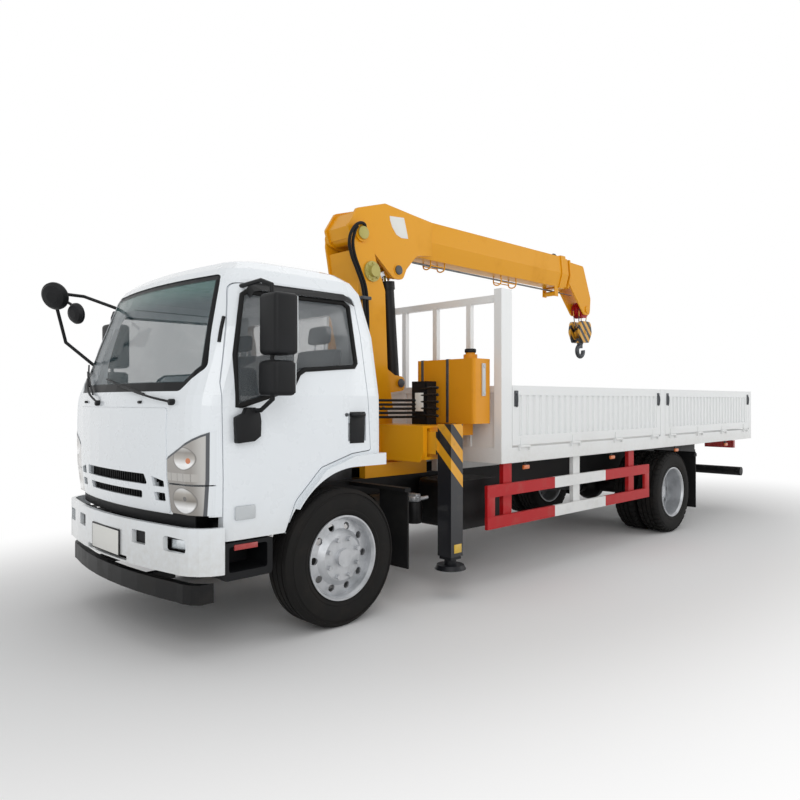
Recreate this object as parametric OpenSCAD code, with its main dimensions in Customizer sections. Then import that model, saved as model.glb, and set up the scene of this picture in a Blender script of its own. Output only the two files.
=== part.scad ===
// Cab-over flatbed truck with a telescopic loader crane behind the cab.
// Inside the modules x runs forward from the front axle, y to the left, z up from the ground, in mm.

/* [Vehicle] */
// Distance between the front and the rear axle
wheelbase = 5140; // [4400:10:5600]
// Front axle to the foremost mirror
front_reach = 1400; // [1250:5:1500]
// Rear axle to the back of the bed
rear_overhang = 2450; // [1800:10:2700]
// Height of the frame rails' upper edge
frame_top = 930; // [880:5:960]
// Height of a frame rail
rail_h = 230; // [160:5:260]
// Width of a frame rail
rail_w = 70; // [50:5:90]
// Width across both frame rails
frame_w = 850; // [760:10:900]

/* [Wheels] */
// Tyre outer radius
tyre_r = 485; // [460:1:500]
// Tyre section width
tyre_w = 255; // [220:1:270]
// Rim flange radius
rim_r = 298; // [285:1:305]
// Front tyre centre plane from the centreline
front_track_half = 958; // [940:1:975]
// Outer rear tyre centre plane from the centreline
rear_track_half = 1018; // [1005:1:1030]
// Spacing of the twin tyres
twin_pitch = 290; // [280:1:300]
// Number of wheel nuts
nut_n = 8; // [6:1:10]
// Number of hand holes in a wheel disc
hand_hole_n = 10; // [6:1:12]
// King pin distance from the centreline
king_y = 850; // [830:1:860]
// Running clearance of pins and spindles
run_gap = 0.05; // [0.02:0.01:0.1]

/* [Cab] */
// Half width of the cab at the belt
cab_half = 1050; // [1000:5:1080]
// Height of the cab roof
roof_z = 2565; // [2500:5:2620]
// Thickness of cab walls and doors
wall_t = 55; // [40:1:70]
// Height of the tilt axis
tilt_z = 850; // [840:1:870]
// Tilt axis ahead of the front axle
tilt_x = 1060; // [1040:1:1070]
// Gap round the doors
door_gap = 6; // [5:0.5:9]
// Radius of the wheel arch
arch_r = 600; // [585:1:640]
// Bowing radius of the cab front in plan
front_bow = 4000; // [3000:50:6000]
// Bumper thickness
bumper_t = 30; // [20:1:40]
// Height of the bumper's upper edge
bumper_top = 818; // [790:1:820]
// Height of the bumper's lower edge
bumper_low = 530; // [480:5:580]

/* [Bed] */
// Half width of the bed
bed_half = 1200; // [1150:5:1225]
// Height of the load floor
floor_z = 1180; // [1150:5:1200]
// Thickness of a drop side
gate_t = 45; // [35:1:55]
// Height of a drop side's upper edge
gate_top = 1725; // [1550:5:1800]
// Width of the corner posts along the bed
post_w = 150; // [100:5:180]
// Height of the headboard posts
post_top = 2560; // [2300:10:2600]
// Pitch of the drop side corrugations
rib_pitch = 100; // [80:5:140]
// Gap between a drop side and what it shuts against
gate_gap = 6; // [5:0.5:10]

/* [Crane] */
// Slew axis behind the front axle
slew_x = -1050; // [-1070:5:-1030]
// Boom pivot height
pivot_z = 3080; // [2980:5:3100]
// Boom pivot ahead of the slew axis
pivot_dx = 120; // [80:5:140]
// Half width of the column
col_half = 200; // [180:5:210]
// Height of the boom section
boom_h = 370; // [330:5:380]
// Width of the boom section
boom_w = 270; // [240:5:290]
// Plate thickness of the boom
boom_t = 8; // [6:0.5:10]
// Free space between two nested boom sections
nest_gap = 14; // [11:0.5:16]
// Length of the boom base behind the boom pivot
boom_len = 3420; // [3000:10:3600]
// Lift cylinder barrel radius
barrel_r = 66; // [50:1:68]
// Lift cylinder rod radius
rod_r = 36; // [28:1:42]
// Outrigger leg section
leg_w = 145; // [120:5:160]
// Outer face of the outrigger leg from the centreline
leg_out = 1160; // [1130:5:1190]
// Height of the outrigger foot above the ground
foot_z = 225; // [150:5:320]

/* [Hidden] */
$fn = 48;
round_fn = 72;
slip = 0.3;
rear_x = -(wheelbase + rear_overhang);
hinge_out = 14;
hinge_r = 13;
origin_x = (wheelbase + rear_overhang + hinge_out + hinge_r - front_reach) / 2;
frame_low = frame_top - rail_h;
rail_in = frame_w / 2 - rail_w;
hub_z = tyre_r;
bead_r = rim_r - 8;
pivot_x = slew_x + pivot_dx;
boom_z = pivot_z + 105;
boom_end = pivot_x - boom_len;
mid_h = boom_h - 2 * (boom_t + nest_gap);
mid_w = boom_w - 2 * (boom_t + nest_gap);
tip_h = mid_h - 2 * (boom_t + nest_gap);
tip_w = mid_w - 2 * (boom_t + nest_gap);
lug_x = pivot_x - 490;
lug_z = pivot_z - 260;
foot_pin_x = slew_x - 460;
foot_pin_z = 1760;
cyl_lean = atan2(lug_x - foot_pin_x, lug_z - foot_pin_z);
cyl_len = norm([lug_x - foot_pin_x, lug_z - foot_pin_z]);
head_x = boom_end - 560;
head_z = boom_z - 410;
leg_x = slew_x - 65;
beam_z = 1245;
gate_low = floor_z + 20;
bed_front = -1650;
gate_mid = rear_x + 2860;
mid_post = 115;
front_gate_x = bed_front - post_w - gate_gap;
front_gate_end = gate_mid + mid_post / 2 + gate_gap;
rear_gate_x = gate_mid - mid_post / 2 - gate_gap;
rear_gate_end = rear_x + 90 + gate_gap;
tail_half = bed_half - 80 - gate_gap;
hinge_half = 70;
deck_up = 2;
function spread(len, edge) = [for (i = [0:3]) edge + i * (len - 2 * edge) / 3];
front_hinges = spread(front_gate_x - front_gate_end, 165);
rear_hinges = spread(rear_gate_x - rear_gate_end, 175);
tail_hinges = spread(2 * tail_half, 200);

// Shared shapes

function arc(cx, cy, r, a0, a1, n) =
  [for (i = [0:n]) [cx + r * cos(a0 + (a1 - a0) * i / n), cy + r * sin(a0 + (a1 - a0) * i / n)]];

// Points of a polygon whose corners [x, y, radius] are rounded.
function rounded(pts, n = 4) = [for (i = [0:len(pts) - 1]) each corner_at(
  pts[(i + len(pts) - 1) % len(pts)], pts[i], pts[(i + 1) % len(pts)], n)];
function xy(p) = [p[0], p[1]];
function unit(v) = v / norm(v);
function corner_at(a, b, c, n) = let (
    u = unit(xy(a) - xy(b)),
    v = unit(xy(c) - xy(b)),
    half = acos(max(-1, min(1, u * v))) / 2,
    reach = b[2] / tan(half)
  ) b[2] <= 0 ? [xy(b)] : [for (i = [0:n]) let (t = i / n,
    p = xy(b) + u * reach,
    q = xy(b) + v * reach,
    m = xy(b)) (1 - t) * (1 - t) * p + 2 * t * (1 - t) * m + t * t * q];

module both() {
  children();
  mirror([0, 1, 0]) children();
}
module box(x0, x1, y0, y1, z0, z1) {
  translate([x0, y0, z0]) cube([x1 - x0, y1 - y0, z1 - z0]);
}
// A plate drawn in the x-z plane that spans y0 to y1.
module side_plate(pts, y0, y1) {
  translate([0, y1, 0]) rotate([90, 0, 0]) linear_extrude(y1 - y0) polygon(pts);
}
// A plate drawn in the y-z plane that spans x0 to x1.
module front_plate(pts, x0, x1) {
  translate([x0, 0, 0]) rotate([90, 0, 90]) linear_extrude(x1 - x0) polygon(pts);
}
module y_rod(x, z, r, y0, y1) {
  translate([x, y0, z]) rotate([-90, 0, 0]) cylinder(r = r, h = y1 - y0);
}
module x_rod(x0, x1, y, z, r) {
  translate([x0, y, z]) rotate([0, 90, 0]) cylinder(r = r, h = x1 - x0);
}
// A round bar between two points.
module bar(a, b, r) {
  v = b - a;
  translate(a) rotate([0, acos(v[2] / norm(v)), atan2(v[1], v[0])]) cylinder(r = r, h = norm(v));
}
// A tube through points with a ball at each bend.
module pipe(pts, r) {
  for (i = [0:len(pts) - 2]) bar(pts[i], pts[i + 1], r);
  for (p = pts) translate(p) sphere(r = r * 1.01, $fn = 24);
}
// A solid through rings of points that all have the same count.
module loft(rings) {
  n = len(rings[0]);
  m = len(rings);
  polyhedron(
    points = [for (r = rings) each r],
    faces = concat(
      [[for (i = [0:n - 1]) i]],
      [for (j = [0:m - 2], i = [0:n - 1]) each
        [[j * n + i, (j + 1) * n + (i + 1) % n, j * n + (i + 1) % n],
         [j * n + i, (j + 1) * n + i, (j + 1) * n + (i + 1) % n]]],
      [[for (i = [n - 1:-1:0]) (m - 1) * n + i]]));
}

// Cab outline by height: front x on the centreline, rear x, half width

cab_zs = [715, 876, 1110, 1420, 1560, 1625, 2060, 2380, 2462, 2520, 2550, roof_z];
function cab_front(z) = lookup(z, [[715, 1150], [876, 1172], [1110, 1200], [1420, 1206], [1560, 1200],
  [1625, 1190], [2380, 905], [2462, 850], [2520, 770], [2550, 680], [2565, 560]]);
function cab_rear(z) = lookup(z, [[715, -405], [1600, -400], [2060, -365], [2300, -330], [2380, -300],
  [2462, -240], [2520, -160], [2550, -90], [2565, -10]]);
function cab_wide(z) = lookup(z, [[715, cab_half - 12], [1110, cab_half], [1625, cab_half], [2060,
    cab_half - 45],
  [2380, cab_half - 112], [2462, cab_half - 150], [2520, cab_half - 225], [2550, cab_half - 310],
  [2565, cab_half - 430]]);
function cab_half_ring(z, d) = let (
    w = cab_wide(z) - d,
    rc = max(40, 215 - d),
    rr = max(15, 70 - d),
    yf = w - rc,
    f = cab_front(z) - d,
    fc = f - yf * yf / (2 * front_bow),
    r = cab_rear(z) + d
  ) concat(
    [for (i = [0:3]) let (y = yf * i / 4) [f - y * y / (2 * front_bow), y]],
    arc(fc - rc, w - rc, rc, 0, 90, 6),
    arc(r + rr, w - rr, rr, 90, 180, 3));
function cab_ring(z, d) = let (h = cab_half_ring(z, d)) concat(
  [for (p = h) [p[0], p[1], z]],
  [for (i = [len(h) - 1:-1:1]) [h[i][0], -h[i][1], z]]);
// The cab's outline moved inwards by d.
module cab_solid(d, low = 715, top = roof_z, over = 0) {
  loft([for (z = cab_zs) if (z >= low && z <= top) [for (p = cab_ring(z, d))
    [p[0], p[1], z + (z == low ? -over : z == top ? over : 0)]]]);
}
// A skin of the cab between two depths.
module cab_layer(d0, d1, low, top) {
  difference() {
    cab_solid(d0, low, top);
    cab_solid(d1, low, top, 1);
  }
}
cabin_floor = 1200;
module cab_inner() {
  intersection() {
    translate([0, 0, -wall_t]) cab_solid(wall_t, 876);
    box(-1000, 1500, -1500, 1500, cabin_floor, 3000);
  }
}
function bow(y) = y * y / (2 * front_bow);
// An upright slab that follows the bowed front, its face at x on the centreline.
module bowed_slab(x, t, half, z0, z1) {
  ys = [for (i = [-6:6]) half * i / 6];
  translate([0, 0, z0]) linear_extrude(z1 - z0) polygon(concat(
    [for (y = ys) [x - bow(y), y]],
    [for (i = [len(ys) - 1:-1:0]) [x - t - bow(ys[i]), ys[i]]]));
}
door_pts = [[928, 716, 10], [945, 1700, 60], [800, 2352, 60], [-192, 2352, 70], [-258, 1500, 60],
    [-275, 1228, 20],
  [-100, 1212, 80], [180, 1130, 100], [390, 920, 100], [470, 716, 20]];
window_pts = [[842, 1560, 40], [836, 1880, 40], [745, 2292, 50], [-132, 2300, 60], [-150, 1835, 50],
    [330, 1800, 60],
  [420, 1668, 60]];
function grown(pts, cx, cz, d) = [for (p = pts) [p[0] + d * sign(p[0] - cx),
    p[1] + d * sign(p[1] - cz), p[2]]];
module door_hole(d) {
  side_plate(rounded(grown(door_pts, 600, 1500, d)), cab_half - 190, cab_half + 90);
}
module window_hole(d) {
  side_plate(rounded(grown(window_pts, 340, 1950, -d)), cab_half - 230, cab_half + 110);
}
screen_half = cab_half - 95;
screen_in = cab_half - 250;
screen_pts = [[-screen_half, 1795, 60], [-screen_in, 1650, 60], [screen_in, 1650, 60], [screen_half,
    1795, 60],
  [screen_in, 2420, 70], [-screen_in, 2420, 70]];
rear_pts = [[-620, 1800, 60], [620, 1800, 60], [600, 2260, 60], [-600, 2260, 60]];
panel_half = cab_half - 338;
lamp_in = panel_half + 6;
lamp_pts = [[lamp_in, 886, 20], [cab_half + 50, 884, 0], [cab_half + 50, 1440, 0], [lamp_in, 1236, 30]];
module panel_zone(d) {
  front_plate(rounded([[-panel_half - d, 884 - d, 20], [panel_half + d, 884 - d, 20],
    [panel_half + d, 1545 + d, 20], [-panel_half - d, 1545 + d, 20]]), 900, 1300);
}
module grille_slots(d) {
  upper = panel_half - 212;
  lower = panel_half - 292;
  vent_in = panel_half - 150;
  vent_out = panel_half - 32;
  front_plate(rounded([[-upper + d, 1050 + d, 20], [upper - d, 1050 + d, 20],
    [upper - 30 - d, 1118 - d, 14], [-upper + 30 + d, 1118 - d, 14]]), 900, 1300);
  front_plate(rounded([[-lower + d, 955 + d, 20], [lower - d, 955 + d, 20],
    [lower + 10 - d, 1005 - d, 14], [-lower - 10 + d, 1005 - d, 14]]), 900, 1300);
  both() {
    front_plate(rounded([[vent_in + d, 1046 + d, 10], [vent_out - d, 1046 + d, 10],
      [vent_out - d, 1085 - d, 10], [vent_in - 10 + d, 1110 - d, 10]]), 900, 1300);
    front_plate(rounded([[vent_in + 12 + d, 955 + d, 10], [vent_out - d, 955 + d, 10],
      [vent_out - d, 1008 - d, 10], [vent_in + d, 1008 - d, 10]]), 900, 1300);
  }
}

// Chassis

module frame() {
  color("#1f2022") difference() {
    union() {
      both() difference() {
        box(rear_x + 110, 1000, rail_in, frame_w / 2, frame_low, frame_top);
        box(rear_x, 1100, rail_in - 1, frame_w / 2 - 10, frame_low + 10, frame_top - 10);
      }
      for (x = [880, -1500, -2100, -2800, -3500, -4200, -4600, -5650, -6200, -6800, rear_x + 120])
        box(x - 45, x + 45, -rail_in - 65, rail_in + 65, frame_low + 40, frame_low + 150);
      both() side_plate(rounded([[900, 720, 0], [1010, 720, 20], [tilt_x + 45, tilt_z - 30, 20],
        [tilt_x + 40, tilt_z + 40, 30], [tilt_x - 60, tilt_z + 40, 10], [900, 900, 0]]), rail_in + 25,
            rail_in + 60);
      y_rod(tilt_x, tilt_z, 28, -470, 470);
      box(rear_x + 75, rear_x + 80, -230, 230, frame_low + 20, frame_low + 190);
      both() box(rear_x + 79, rear_x + 170, 150, 170, frame_low + 40, frame_low + 170);
      for (z = [frame_low + 70, frame_low + 130]) box(rear_x + 10, rear_x + 76, -60, 60, z - 14, z + 14);
    }
    translate([rear_x + 38, 0, frame_low]) cylinder(r = 20, h = 300);
  }
}
// Leaf pack that sags from its eyes to its seat.
module leaf_pack(half, rise, thick, n) {
  big = (half * half + rise * rise) / (2 * rise);
  ang = asin(half / big);
  rotate([90, 0, 0]) linear_extrude(rail_w, center = true)
    polygon(concat(arc(0, big, big, 270 - ang, 270 + ang, n), arc(0, big, big - thick, 270 + ang,
        270 - ang, n)));
  for (s = [-1, 1]) translate([s * half, 0, rise]) rotate([90, 0, 0]) cylinder(r = 34, h = rail_w,
      center = true);
  rotate([90, 0, 0]) linear_extrude(rail_w, center = true) polygon(concat(
    arc(0, big - 6, big, 270 - ang * 0.55, 270 + ang * 0.55, n),
    arc(0, big - 6, big - thick * 2, 270 + ang * 0.55, 270 - ang * 0.55, n)));
}
module front_axle() {
  spring_y = frame_w / 2 - rail_w / 2;
  color("#26272a") difference() {
    union() {
      box(-45, 45, -king_y + 20, king_y - 20, 390, 470);
      both() translate([0, king_y, 372]) cylinder(r = 52, h = 116);
      both() translate([0, spring_y, 462]) leaf_pack(640, 150, 14, 14);
      both() box(-80, 80, spring_y - 55, spring_y + 55, 440, 500);
      both() for (x = [-640, 640]) box(x - 40, x + 40, spring_y - 30, spring_y + 30, 590, frame_low);
    }
    both() translate([0, king_y, 300]) cylinder(r = 25 + run_gap, h = 300);
  }
}
module rear_axle() {
  spring_y = frame_w / 2 - rail_w / 2;
  color("#26272a") translate([-wheelbase, 0, 0]) {
    y_rod(0, hub_z, 78, -700, 700);
    both() y_rod(0, hub_z, 50, 690, 965);
    translate([0, 0, hub_z]) rotate([0, 90, 0]) rotate_extrude($fn = round_fn)
      polygon([[0, -150], [110, -140], [185, -60], [190, 40], [150, 120], [80, 190], [80, 300], [0,
          300]]);
    both() translate([0, spring_y, 568]) leaf_pack(720, 96, 20, 14);
    both() box(-95, 95, spring_y - 55, spring_y + 55, 500, 640);
    both() for (x = [-720, 720]) box(x - 40, x + 40, spring_y - 30, spring_y + 30, 640, frame_low);
  }
}
module powertrain() {
  color("#3b3d40") {
    box(-760, 180, -270, 270, 560, 1060);
    box(-1250, -750, -190, 190, 560, 860);
    both() box(-500, -380, 260, frame_w / 2 - 10, 720, 800);
    both() box(540, 620, 330, frame_w / 2 - 10, 760, 800);
    difference() {
      box(520, 640, -340, 340, 730, 935);
      for (i = [-8:8]) box(636, 650, i * 38 - 14, i * 38 + 14, 745, 920);
    }
    box(170, 530, -90, 90, 760, 860);
    bar([-1240, 0, 640], [-3300, 0, 640], 50);
    bar([-3290, 0, 640], [-wheelbase + 340, 0, hub_z], 50);
    box(-3330, -3250, -160, 160, 620, 660);
    both() box(-3330, -3250, 150, rail_in + 40, 620, frame_low);
    x_rod(-wheelbase + 300, -wheelbase + 360, 0, hub_z, 66);
    y_rod(-900, 700, 85, -330, -190);
  }
}
module chassis_tanks() {
  color("#232427") {
    side_plate(rounded([[-1940, 480, 60], [-1370, 480, 60], [-1370, 900, 60], [-1940, 900, 60]]),
      frame_w / 2 + 60, 960);
    box(-1800, -1740, frame_w / 2, frame_w / 2 + 70, 720, 880);
    box(-1520, -1460, frame_w / 2, frame_w / 2 + 70, 720, 880);
    side_plate(rounded([[-2250, 470, 90], [-1330, 470, 90], [-1330, 905, 90], [-2250, 905, 90]]),
        -1000, -frame_w / 2 - 60);
    for (x = [-2100, -1500]) box(x - 30, x + 30, -frame_w / 2 - 70, -frame_w / 2, 720, 880);
    x_rod(-3000, -2350, -620, 780, 120);
    for (x = [-2900, -2480]) box(x - 25, x + 25, -520, -frame_w / 2, 740, 820);
    x_rod(-980, -700, 560, 700, 110);
    box(-900, -800, frame_w / 2, 480, 720, 800);
  }
}
module bumper_ring(d, low, top) {
  h = [for (p = cab_half_ring(1110, d)) if (p[0] > 0) p];
  side = [[930, cab_half - d - 12]];
  pts = concat([for (p = h) if (p[0] > 930) [min(p[0], 2000), min(p[1], cab_half - d - 12)]], side);
  translate([0, 0, low]) linear_extrude(top - low) polygon(concat(
    pts, [[700, cab_half - d - 12], [700, -(cab_half - d - 12)]],
        [for (i = [len(pts) - 1:-1:1]) [pts[i][0], -pts[i][1]]]));
}
module bumper() {
  color("#f1f2f2") {
    difference() {
      bumper_ring(-46, bumper_low, bumper_top);
      bumper_ring(-46 + bumper_t, bumper_low - 1, bumper_top + 1);
      box(600, 945, -1300, 1300, 400, 900);
      both() front_plate(rounded([[740, 662, 22], [945, 662, 22], [945, 748, 22], [740, 756, 22]]),
          1000, 1400);
      both() front_plate(rounded([[400, 672, 10], [555, 672, 10], [555, 758, 10], [400, 758, 10]]),
          1000, 1400);
      front_plate(rounded([[-330, 540, 10], [330, 540, 10], [330, 570, 10], [-330, 570, 10]]), 1000,
          1400);
    }
    both() box(991, 1210, rail_in + 2, rail_in + 23, 590, 662);
    both() box(991, 1060, rail_in + 2, rail_in + 23, 600, frame_low);
  }
}
module underrun_bars() {
  color("#2a2b2e") {
    difference() {
      bumper_ring(-20, 350, 470);
      bumper_ring(30, 349, 471);
      box(600, 950, -1300, 1300, 300, 500);
      both() box(900, 1300, cab_half - 50, 1300, 300, 500);
    }
    both() box(930, 990, rail_in, rail_in + 60, 400, frame_low);
    both() box(930, 1160, rail_in, rail_in + 60, 390, 450);
    y_rod(rear_x + 190, 575, 62, -1130, 1130);
    both() box(rear_x + 160, rear_x + 230, 370, 420, 560, frame_low);
  }
}
guard_y = bed_half - 35;
module side_guards() {
  color("#e9e9e8") both() {
    for (z = [545, 815]) box(-4457, -1504, guard_y - 30, guard_y, z - 52, z + 52);
    for (x = [-1820, -2953, -4085]) box(x - 60, x + 60, guard_y - 70, guard_y - 29, 500, 1048);
  }
}
module mudflaps() {
  color("#202124") both() {
    box(-640, -625, 770, 1085, 300, 910);
    box(-660, -600, frame_w / 2, 1085, 890, 920);
    box(-wheelbase - 640, -wheelbase - 625, 600, 1150, 230, 940);
    box(-wheelbase - 665, -wheelbase - 600, frame_w / 2, 1150, 880, 920);
  }
}
module tail_lamps() {
  color("#a3211c") both() {
    box(rear_x + 15, rear_x + 70, 560, 980, 900, 1010);
    box(rear_x + 25, rear_x + 60, 700, 780, 1005, 1048);
  }
}
module steps() {
  color("#26272a") both() {
    difference() {
      side_plate(rounded([[565, 470, 30], [925, 470, 30], [925, 705, 10], [565, 705, 10]]),
          cab_half - 330, cab_half - 20);
      side_plate(rounded([[605, 520, 20], [885, 520, 20], [885, 680, 20], [605, 680, 20]]),
          cab_half - 270, cab_half + 10);
    }
    box(600, 680, frame_w / 2, cab_half - 320, 710, 760);
    box(600, 680, cab_half - 345, cab_half - 300, 640, 760);
  }
}

// Bed

module bed_floor() {
  color("#e4e5e4") {
    box(rear_x + 60, bed_front - 10, -bed_half + 70, bed_half - 70, floor_z - 40, floor_z);
    box(rear_x + 95, bed_front - 65, -bed_half + 85, bed_half - 85, floor_z - 20, floor_z + deck_up);
    both() box(rear_x, bed_front, bed_half - 75, bed_half, 1048, floor_z);
    box(rear_x, rear_x + 75, -bed_half + 70, bed_half - 70, 1048, floor_z);
    box(bed_front - 80, bed_front, -bed_half + 70, bed_half - 70, 1048, floor_z);
    for (i = [1:11]) let (x = rear_x + 40 + i * (bed_front - rear_x) / 12)
      box(x, x + 70, -bed_half + 70, bed_half - 70, 1048, floor_z - 35);
    both() box(rear_x + 20, bed_front - 30, rail_in, frame_w / 2, frame_top, 1055);
    both() translate([front_gate_end, bed_half, gate_low]) hinge_ears(front_hinges);
    both() translate([rear_gate_end, bed_half, gate_low]) hinge_ears(rear_hinges);
    translate([rear_x, -tail_half, gate_low]) rotate([0, 0, 90]) hinge_ears(tail_hinges);
  }
}
// Ears on the sill that hold both ends of each hinge rod.
module hinge_ears(xs) {
  for (x = xs, s = [-1, 1]) box(x + s * (hinge_half + 5 + slip) - 5, x + s * (hinge_half + 5 + slip) + 5,
    -1, hinge_out + 8, -50, -4);
}
module bed_frame() {
  color("#f0f0ef") {
    both() box(bed_front - post_w, bed_front, bed_half - 80, bed_half, floor_z, post_top);
    both() box(gate_mid - mid_post / 2, gate_mid + mid_post / 2, bed_half - 60, bed_half, floor_z,
        gate_top);
    both() box(rear_x, rear_x + 90, bed_half - 80, bed_half, floor_z, gate_top);
    box(bed_front - 60, bed_front - 10, -bed_half + 70, bed_half - 70, post_top - 110, post_top - 50);
    box(bed_front - 60, bed_front - 10, -bed_half + 70, bed_half - 70, 1660, 1720);
    box(bed_front - 45, bed_front - 25, -bed_half + 70, bed_half - 70, floor_z, 1665);
    for (i = [-2:2]) box(bed_front - 58, bed_front - 12, i * 410 - 25, i * 410 + 25, floor_z,
        post_top - 60);
  }
}
// A drop side drawn along +x from 0 to len, standing on z = 0, its outer face at y = 0.
module drop_side(len, h) {
  rail = 85;
  edge = 90;
  count = floor((len - 2 * edge) / rib_pitch);
  step = (len - 2 * edge) / count;
  outer = [for (i = [0:count - 1]) each [[edge + i * step, -4], [edge + (i + 0.4) * step, -4],
    [edge + (i + 0.5) * step, -22], [edge + (i + 0.9) * step, -22]]];
  inner = [for (i = [count - 1:-1:0]) each [[edge + (i + 0.9) * step, -30], [edge + (i + 0.5) * step,
      -30],
    [edge + (i + 0.4) * step, -12], [edge + i * step, -12]]];
  translate([0, 0, rail - 5]) linear_extrude(h - 2 * rail + 10) polygon(concat(outer, [[len - edge + 5,
      -4], [len - edge + 5, -12]], inner));
  for (x = [0, len - edge]) box(x, x + edge, -gate_t, 0, 0, h);
  box(0, len, -gate_t, 0, 0, rail);
  box(0, len, -gate_t, 0, h - rail, h);
}
module drop_hinges(xs) {
  for (x = xs) {
    box(x - 45, x + 45, -4, 5, -8, 62);
    x_rod(x - hinge_half, x + hinge_half, hinge_out, -12, hinge_r);
  }
}
module side_gate(x0, x1, xs) {
  color("#f2f3f3") translate([x1, bed_half, gate_low]) {
    drop_side(x0 - x1, gate_top - gate_low);
    drop_hinges(xs);
  }
}
module side_front_left() { side_gate(front_gate_x, front_gate_end, front_hinges); }
module side_rear_left() { side_gate(rear_gate_x, rear_gate_end, rear_hinges); }
module side_front_right() { mirror([0, 1, 0]) side_front_left(); }
module side_rear_right() { mirror([0, 1, 0]) side_rear_left(); }
module tailgate() {
  color("#f2f3f3") translate([rear_x, -tail_half, gate_low]) rotate([0, 0, 90]) {
    drop_side(2 * tail_half, gate_top - gate_low);
    drop_hinges(tail_hinges);
  }
}

// Cab

module cab_shell() {
  color("#f3f4f4") difference() {
    union() {
      difference() {
        cab_solid(0);
        cab_inner();
        box(420, 1010, -cab_half + wall_t, cab_half - wall_t, 1000, 1300);
        box(-1000, -100, -1500, 1500, 600, 1120);
        y_rod(-100, 1120 - arch_r, arch_r, -1500, 1500);
        box(-200, 1300, -cab_half + wall_t, cab_half - wall_t, 600, 876);
        box(-200, 400, -cab_half + wall_t, cab_half - wall_t, 600, 1120);
        box(-200, 1105, -cab_half + wall_t, cab_half - wall_t, 600, 960);
        box(905, 1300, -1500, 1500, 600, 876);
        both() door_hole(door_gap / 2);
        front_plate(rounded(screen_pts), 600, 1400);
        front_plate(rounded(rear_pts), -600, -200);
        intersection() {
          panel_zone(0.5);
          cab_layer(-20, 14, 876, 1625);
        }
        intersection() {
          grille_slots(-12);
          bowed_slab(1250, 112, 760, 900, 1150);
        }
        intersection() {
          both() front_plate(rounded(grown(lamp_pts, 900, 1100, 1)), 975, 1300);
          cab_layer(-20, 42, 876, 1560);
        }
      }
      both() difference() {
        side_plate(rounded([[-395, 1120, 0], [-395, 1206, 0], [-100, 1196, 80], [166, 1112, 100], [372,
            905, 100],
          [450, 735, 0], [380, 735, 0], [0, 1000, 0], [-100, 1120, 0]]), cab_half - 54, cab_half + 42);
        y_rod(-100, 1120 - arch_r, arch_r, cab_half - 300, cab_half + 100);
        door_hole(door_gap / 2);
      }
      both() for (y = [310, 440]) side_plate(rounded([[tilt_x - 48, tilt_z - 40, 40], [tilt_x + 44,
          tilt_z - 40, 40],
        [tilt_x + 44, 965, 0], [tilt_x - 160, 965, 0]]), y, y + 30);
    }
    y_rod(tilt_x, tilt_z, 28 + run_gap, -600, 600);
  }
}
module cab_glass() {
  color("#9fb4b8") {
    intersection() {
      cab_layer(8, 15, 1625, 2462);
      front_plate(rounded(grown(screen_pts, 0, 2000, -slip)), 600, 1400);
    }
    intersection() {
      cab_layer(12, 19, 1625, 2380);
      front_plate(rounded(grown(rear_pts, 0, 2000, -slip)), -600, -200);
    }
  }
}
module front_panel() {
  color("#f3f4f4") difference() {
    intersection() {
      cab_layer(-6, 13.5, 876, 1560);
      panel_zone(-0.5);
    }
    grille_slots(0);
  }
}
module grille() {
  color("#1b1c1e") intersection() {
    union() {
      bowed_slab(1150, 11.5, panel_half + 28, 920, 1140);
      for (i = [-20:20]) box(1143 - bow(i * 34), 1164 - bow(i * 34), i * 34 - 3, i * 34 + 3, 930, 1135);
    }
    grille_slots(-11.5);
  }
}
module headlamps() {
  color("#d9dde0") both() difference() {
    intersection() {
      cab_layer(-3, 41.5, 876, 1560);
      front_plate(rounded(lamp_pts), 976, 1300);
    }
    box(900, 1300, panel_half - 12, cab_half + 150, 1068, 1076);
  }
}
module dashboard() {
  color("#34363a") {
    side_plate(rounded([[1000, 1190, 0], [1000, 1540, 30], [900, 1560, 60], [720, 1480, 50], [760,
        1300, 40], [860, 1010, 20],
      [960, 1000 + slip, 0]]), -cab_half + 230, cab_half - 230);
    bar([820, 480, 1250], [545, 480, 1494], 32);
    translate([540, 480, 1498]) rotate([0, -48, 0]) {
      rotate_extrude($fn = round_fn) translate([215, 0]) circle(r = 15, $fn = 16);
      cylinder(r = 55, h = 34, center = true);
      for (a = [90, 210, 330]) rotate([0, 0, a]) translate([0, -16, -9]) cube([215, 32, 14]);
    }
  }
}
module seats() {
  color("#4a4d52") for (s = [[300, 500], [-800, 1000]]) {
    y0 = s[0] - 20;
    y1 = s[0] + s[1];
    side_plate(rounded([[-200, 1200, 0], [330, 1200, 0], [360, 1480, 50], [320, 1540, 40], [-100, 1500,
        20]]), y0, y1);
    side_plate(rounded([[-200, 1220, 0], [-60, 1480, 20], [-150, 2000, 50], [-250, 2000, 40], [-215,
        1500, 0]]), y0, y1);
    side_plate(rounded([[-150, 2020, 20], [-175, 2180, 40], [-245, 2180, 30], [-235, 2020, 20]]),
        (y0 + y1) / 2 - 130, (y0 + y1) / 2 + 130);
    both_bars(y0, y1);
  }
}
module both_bars(y0, y1) {
  for (d = [-60, 60]) bar([-200, (y0 + y1) / 2 + d, 1960], [-208, (y0 + y1) / 2 + d, 2060], 8);
}
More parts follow.
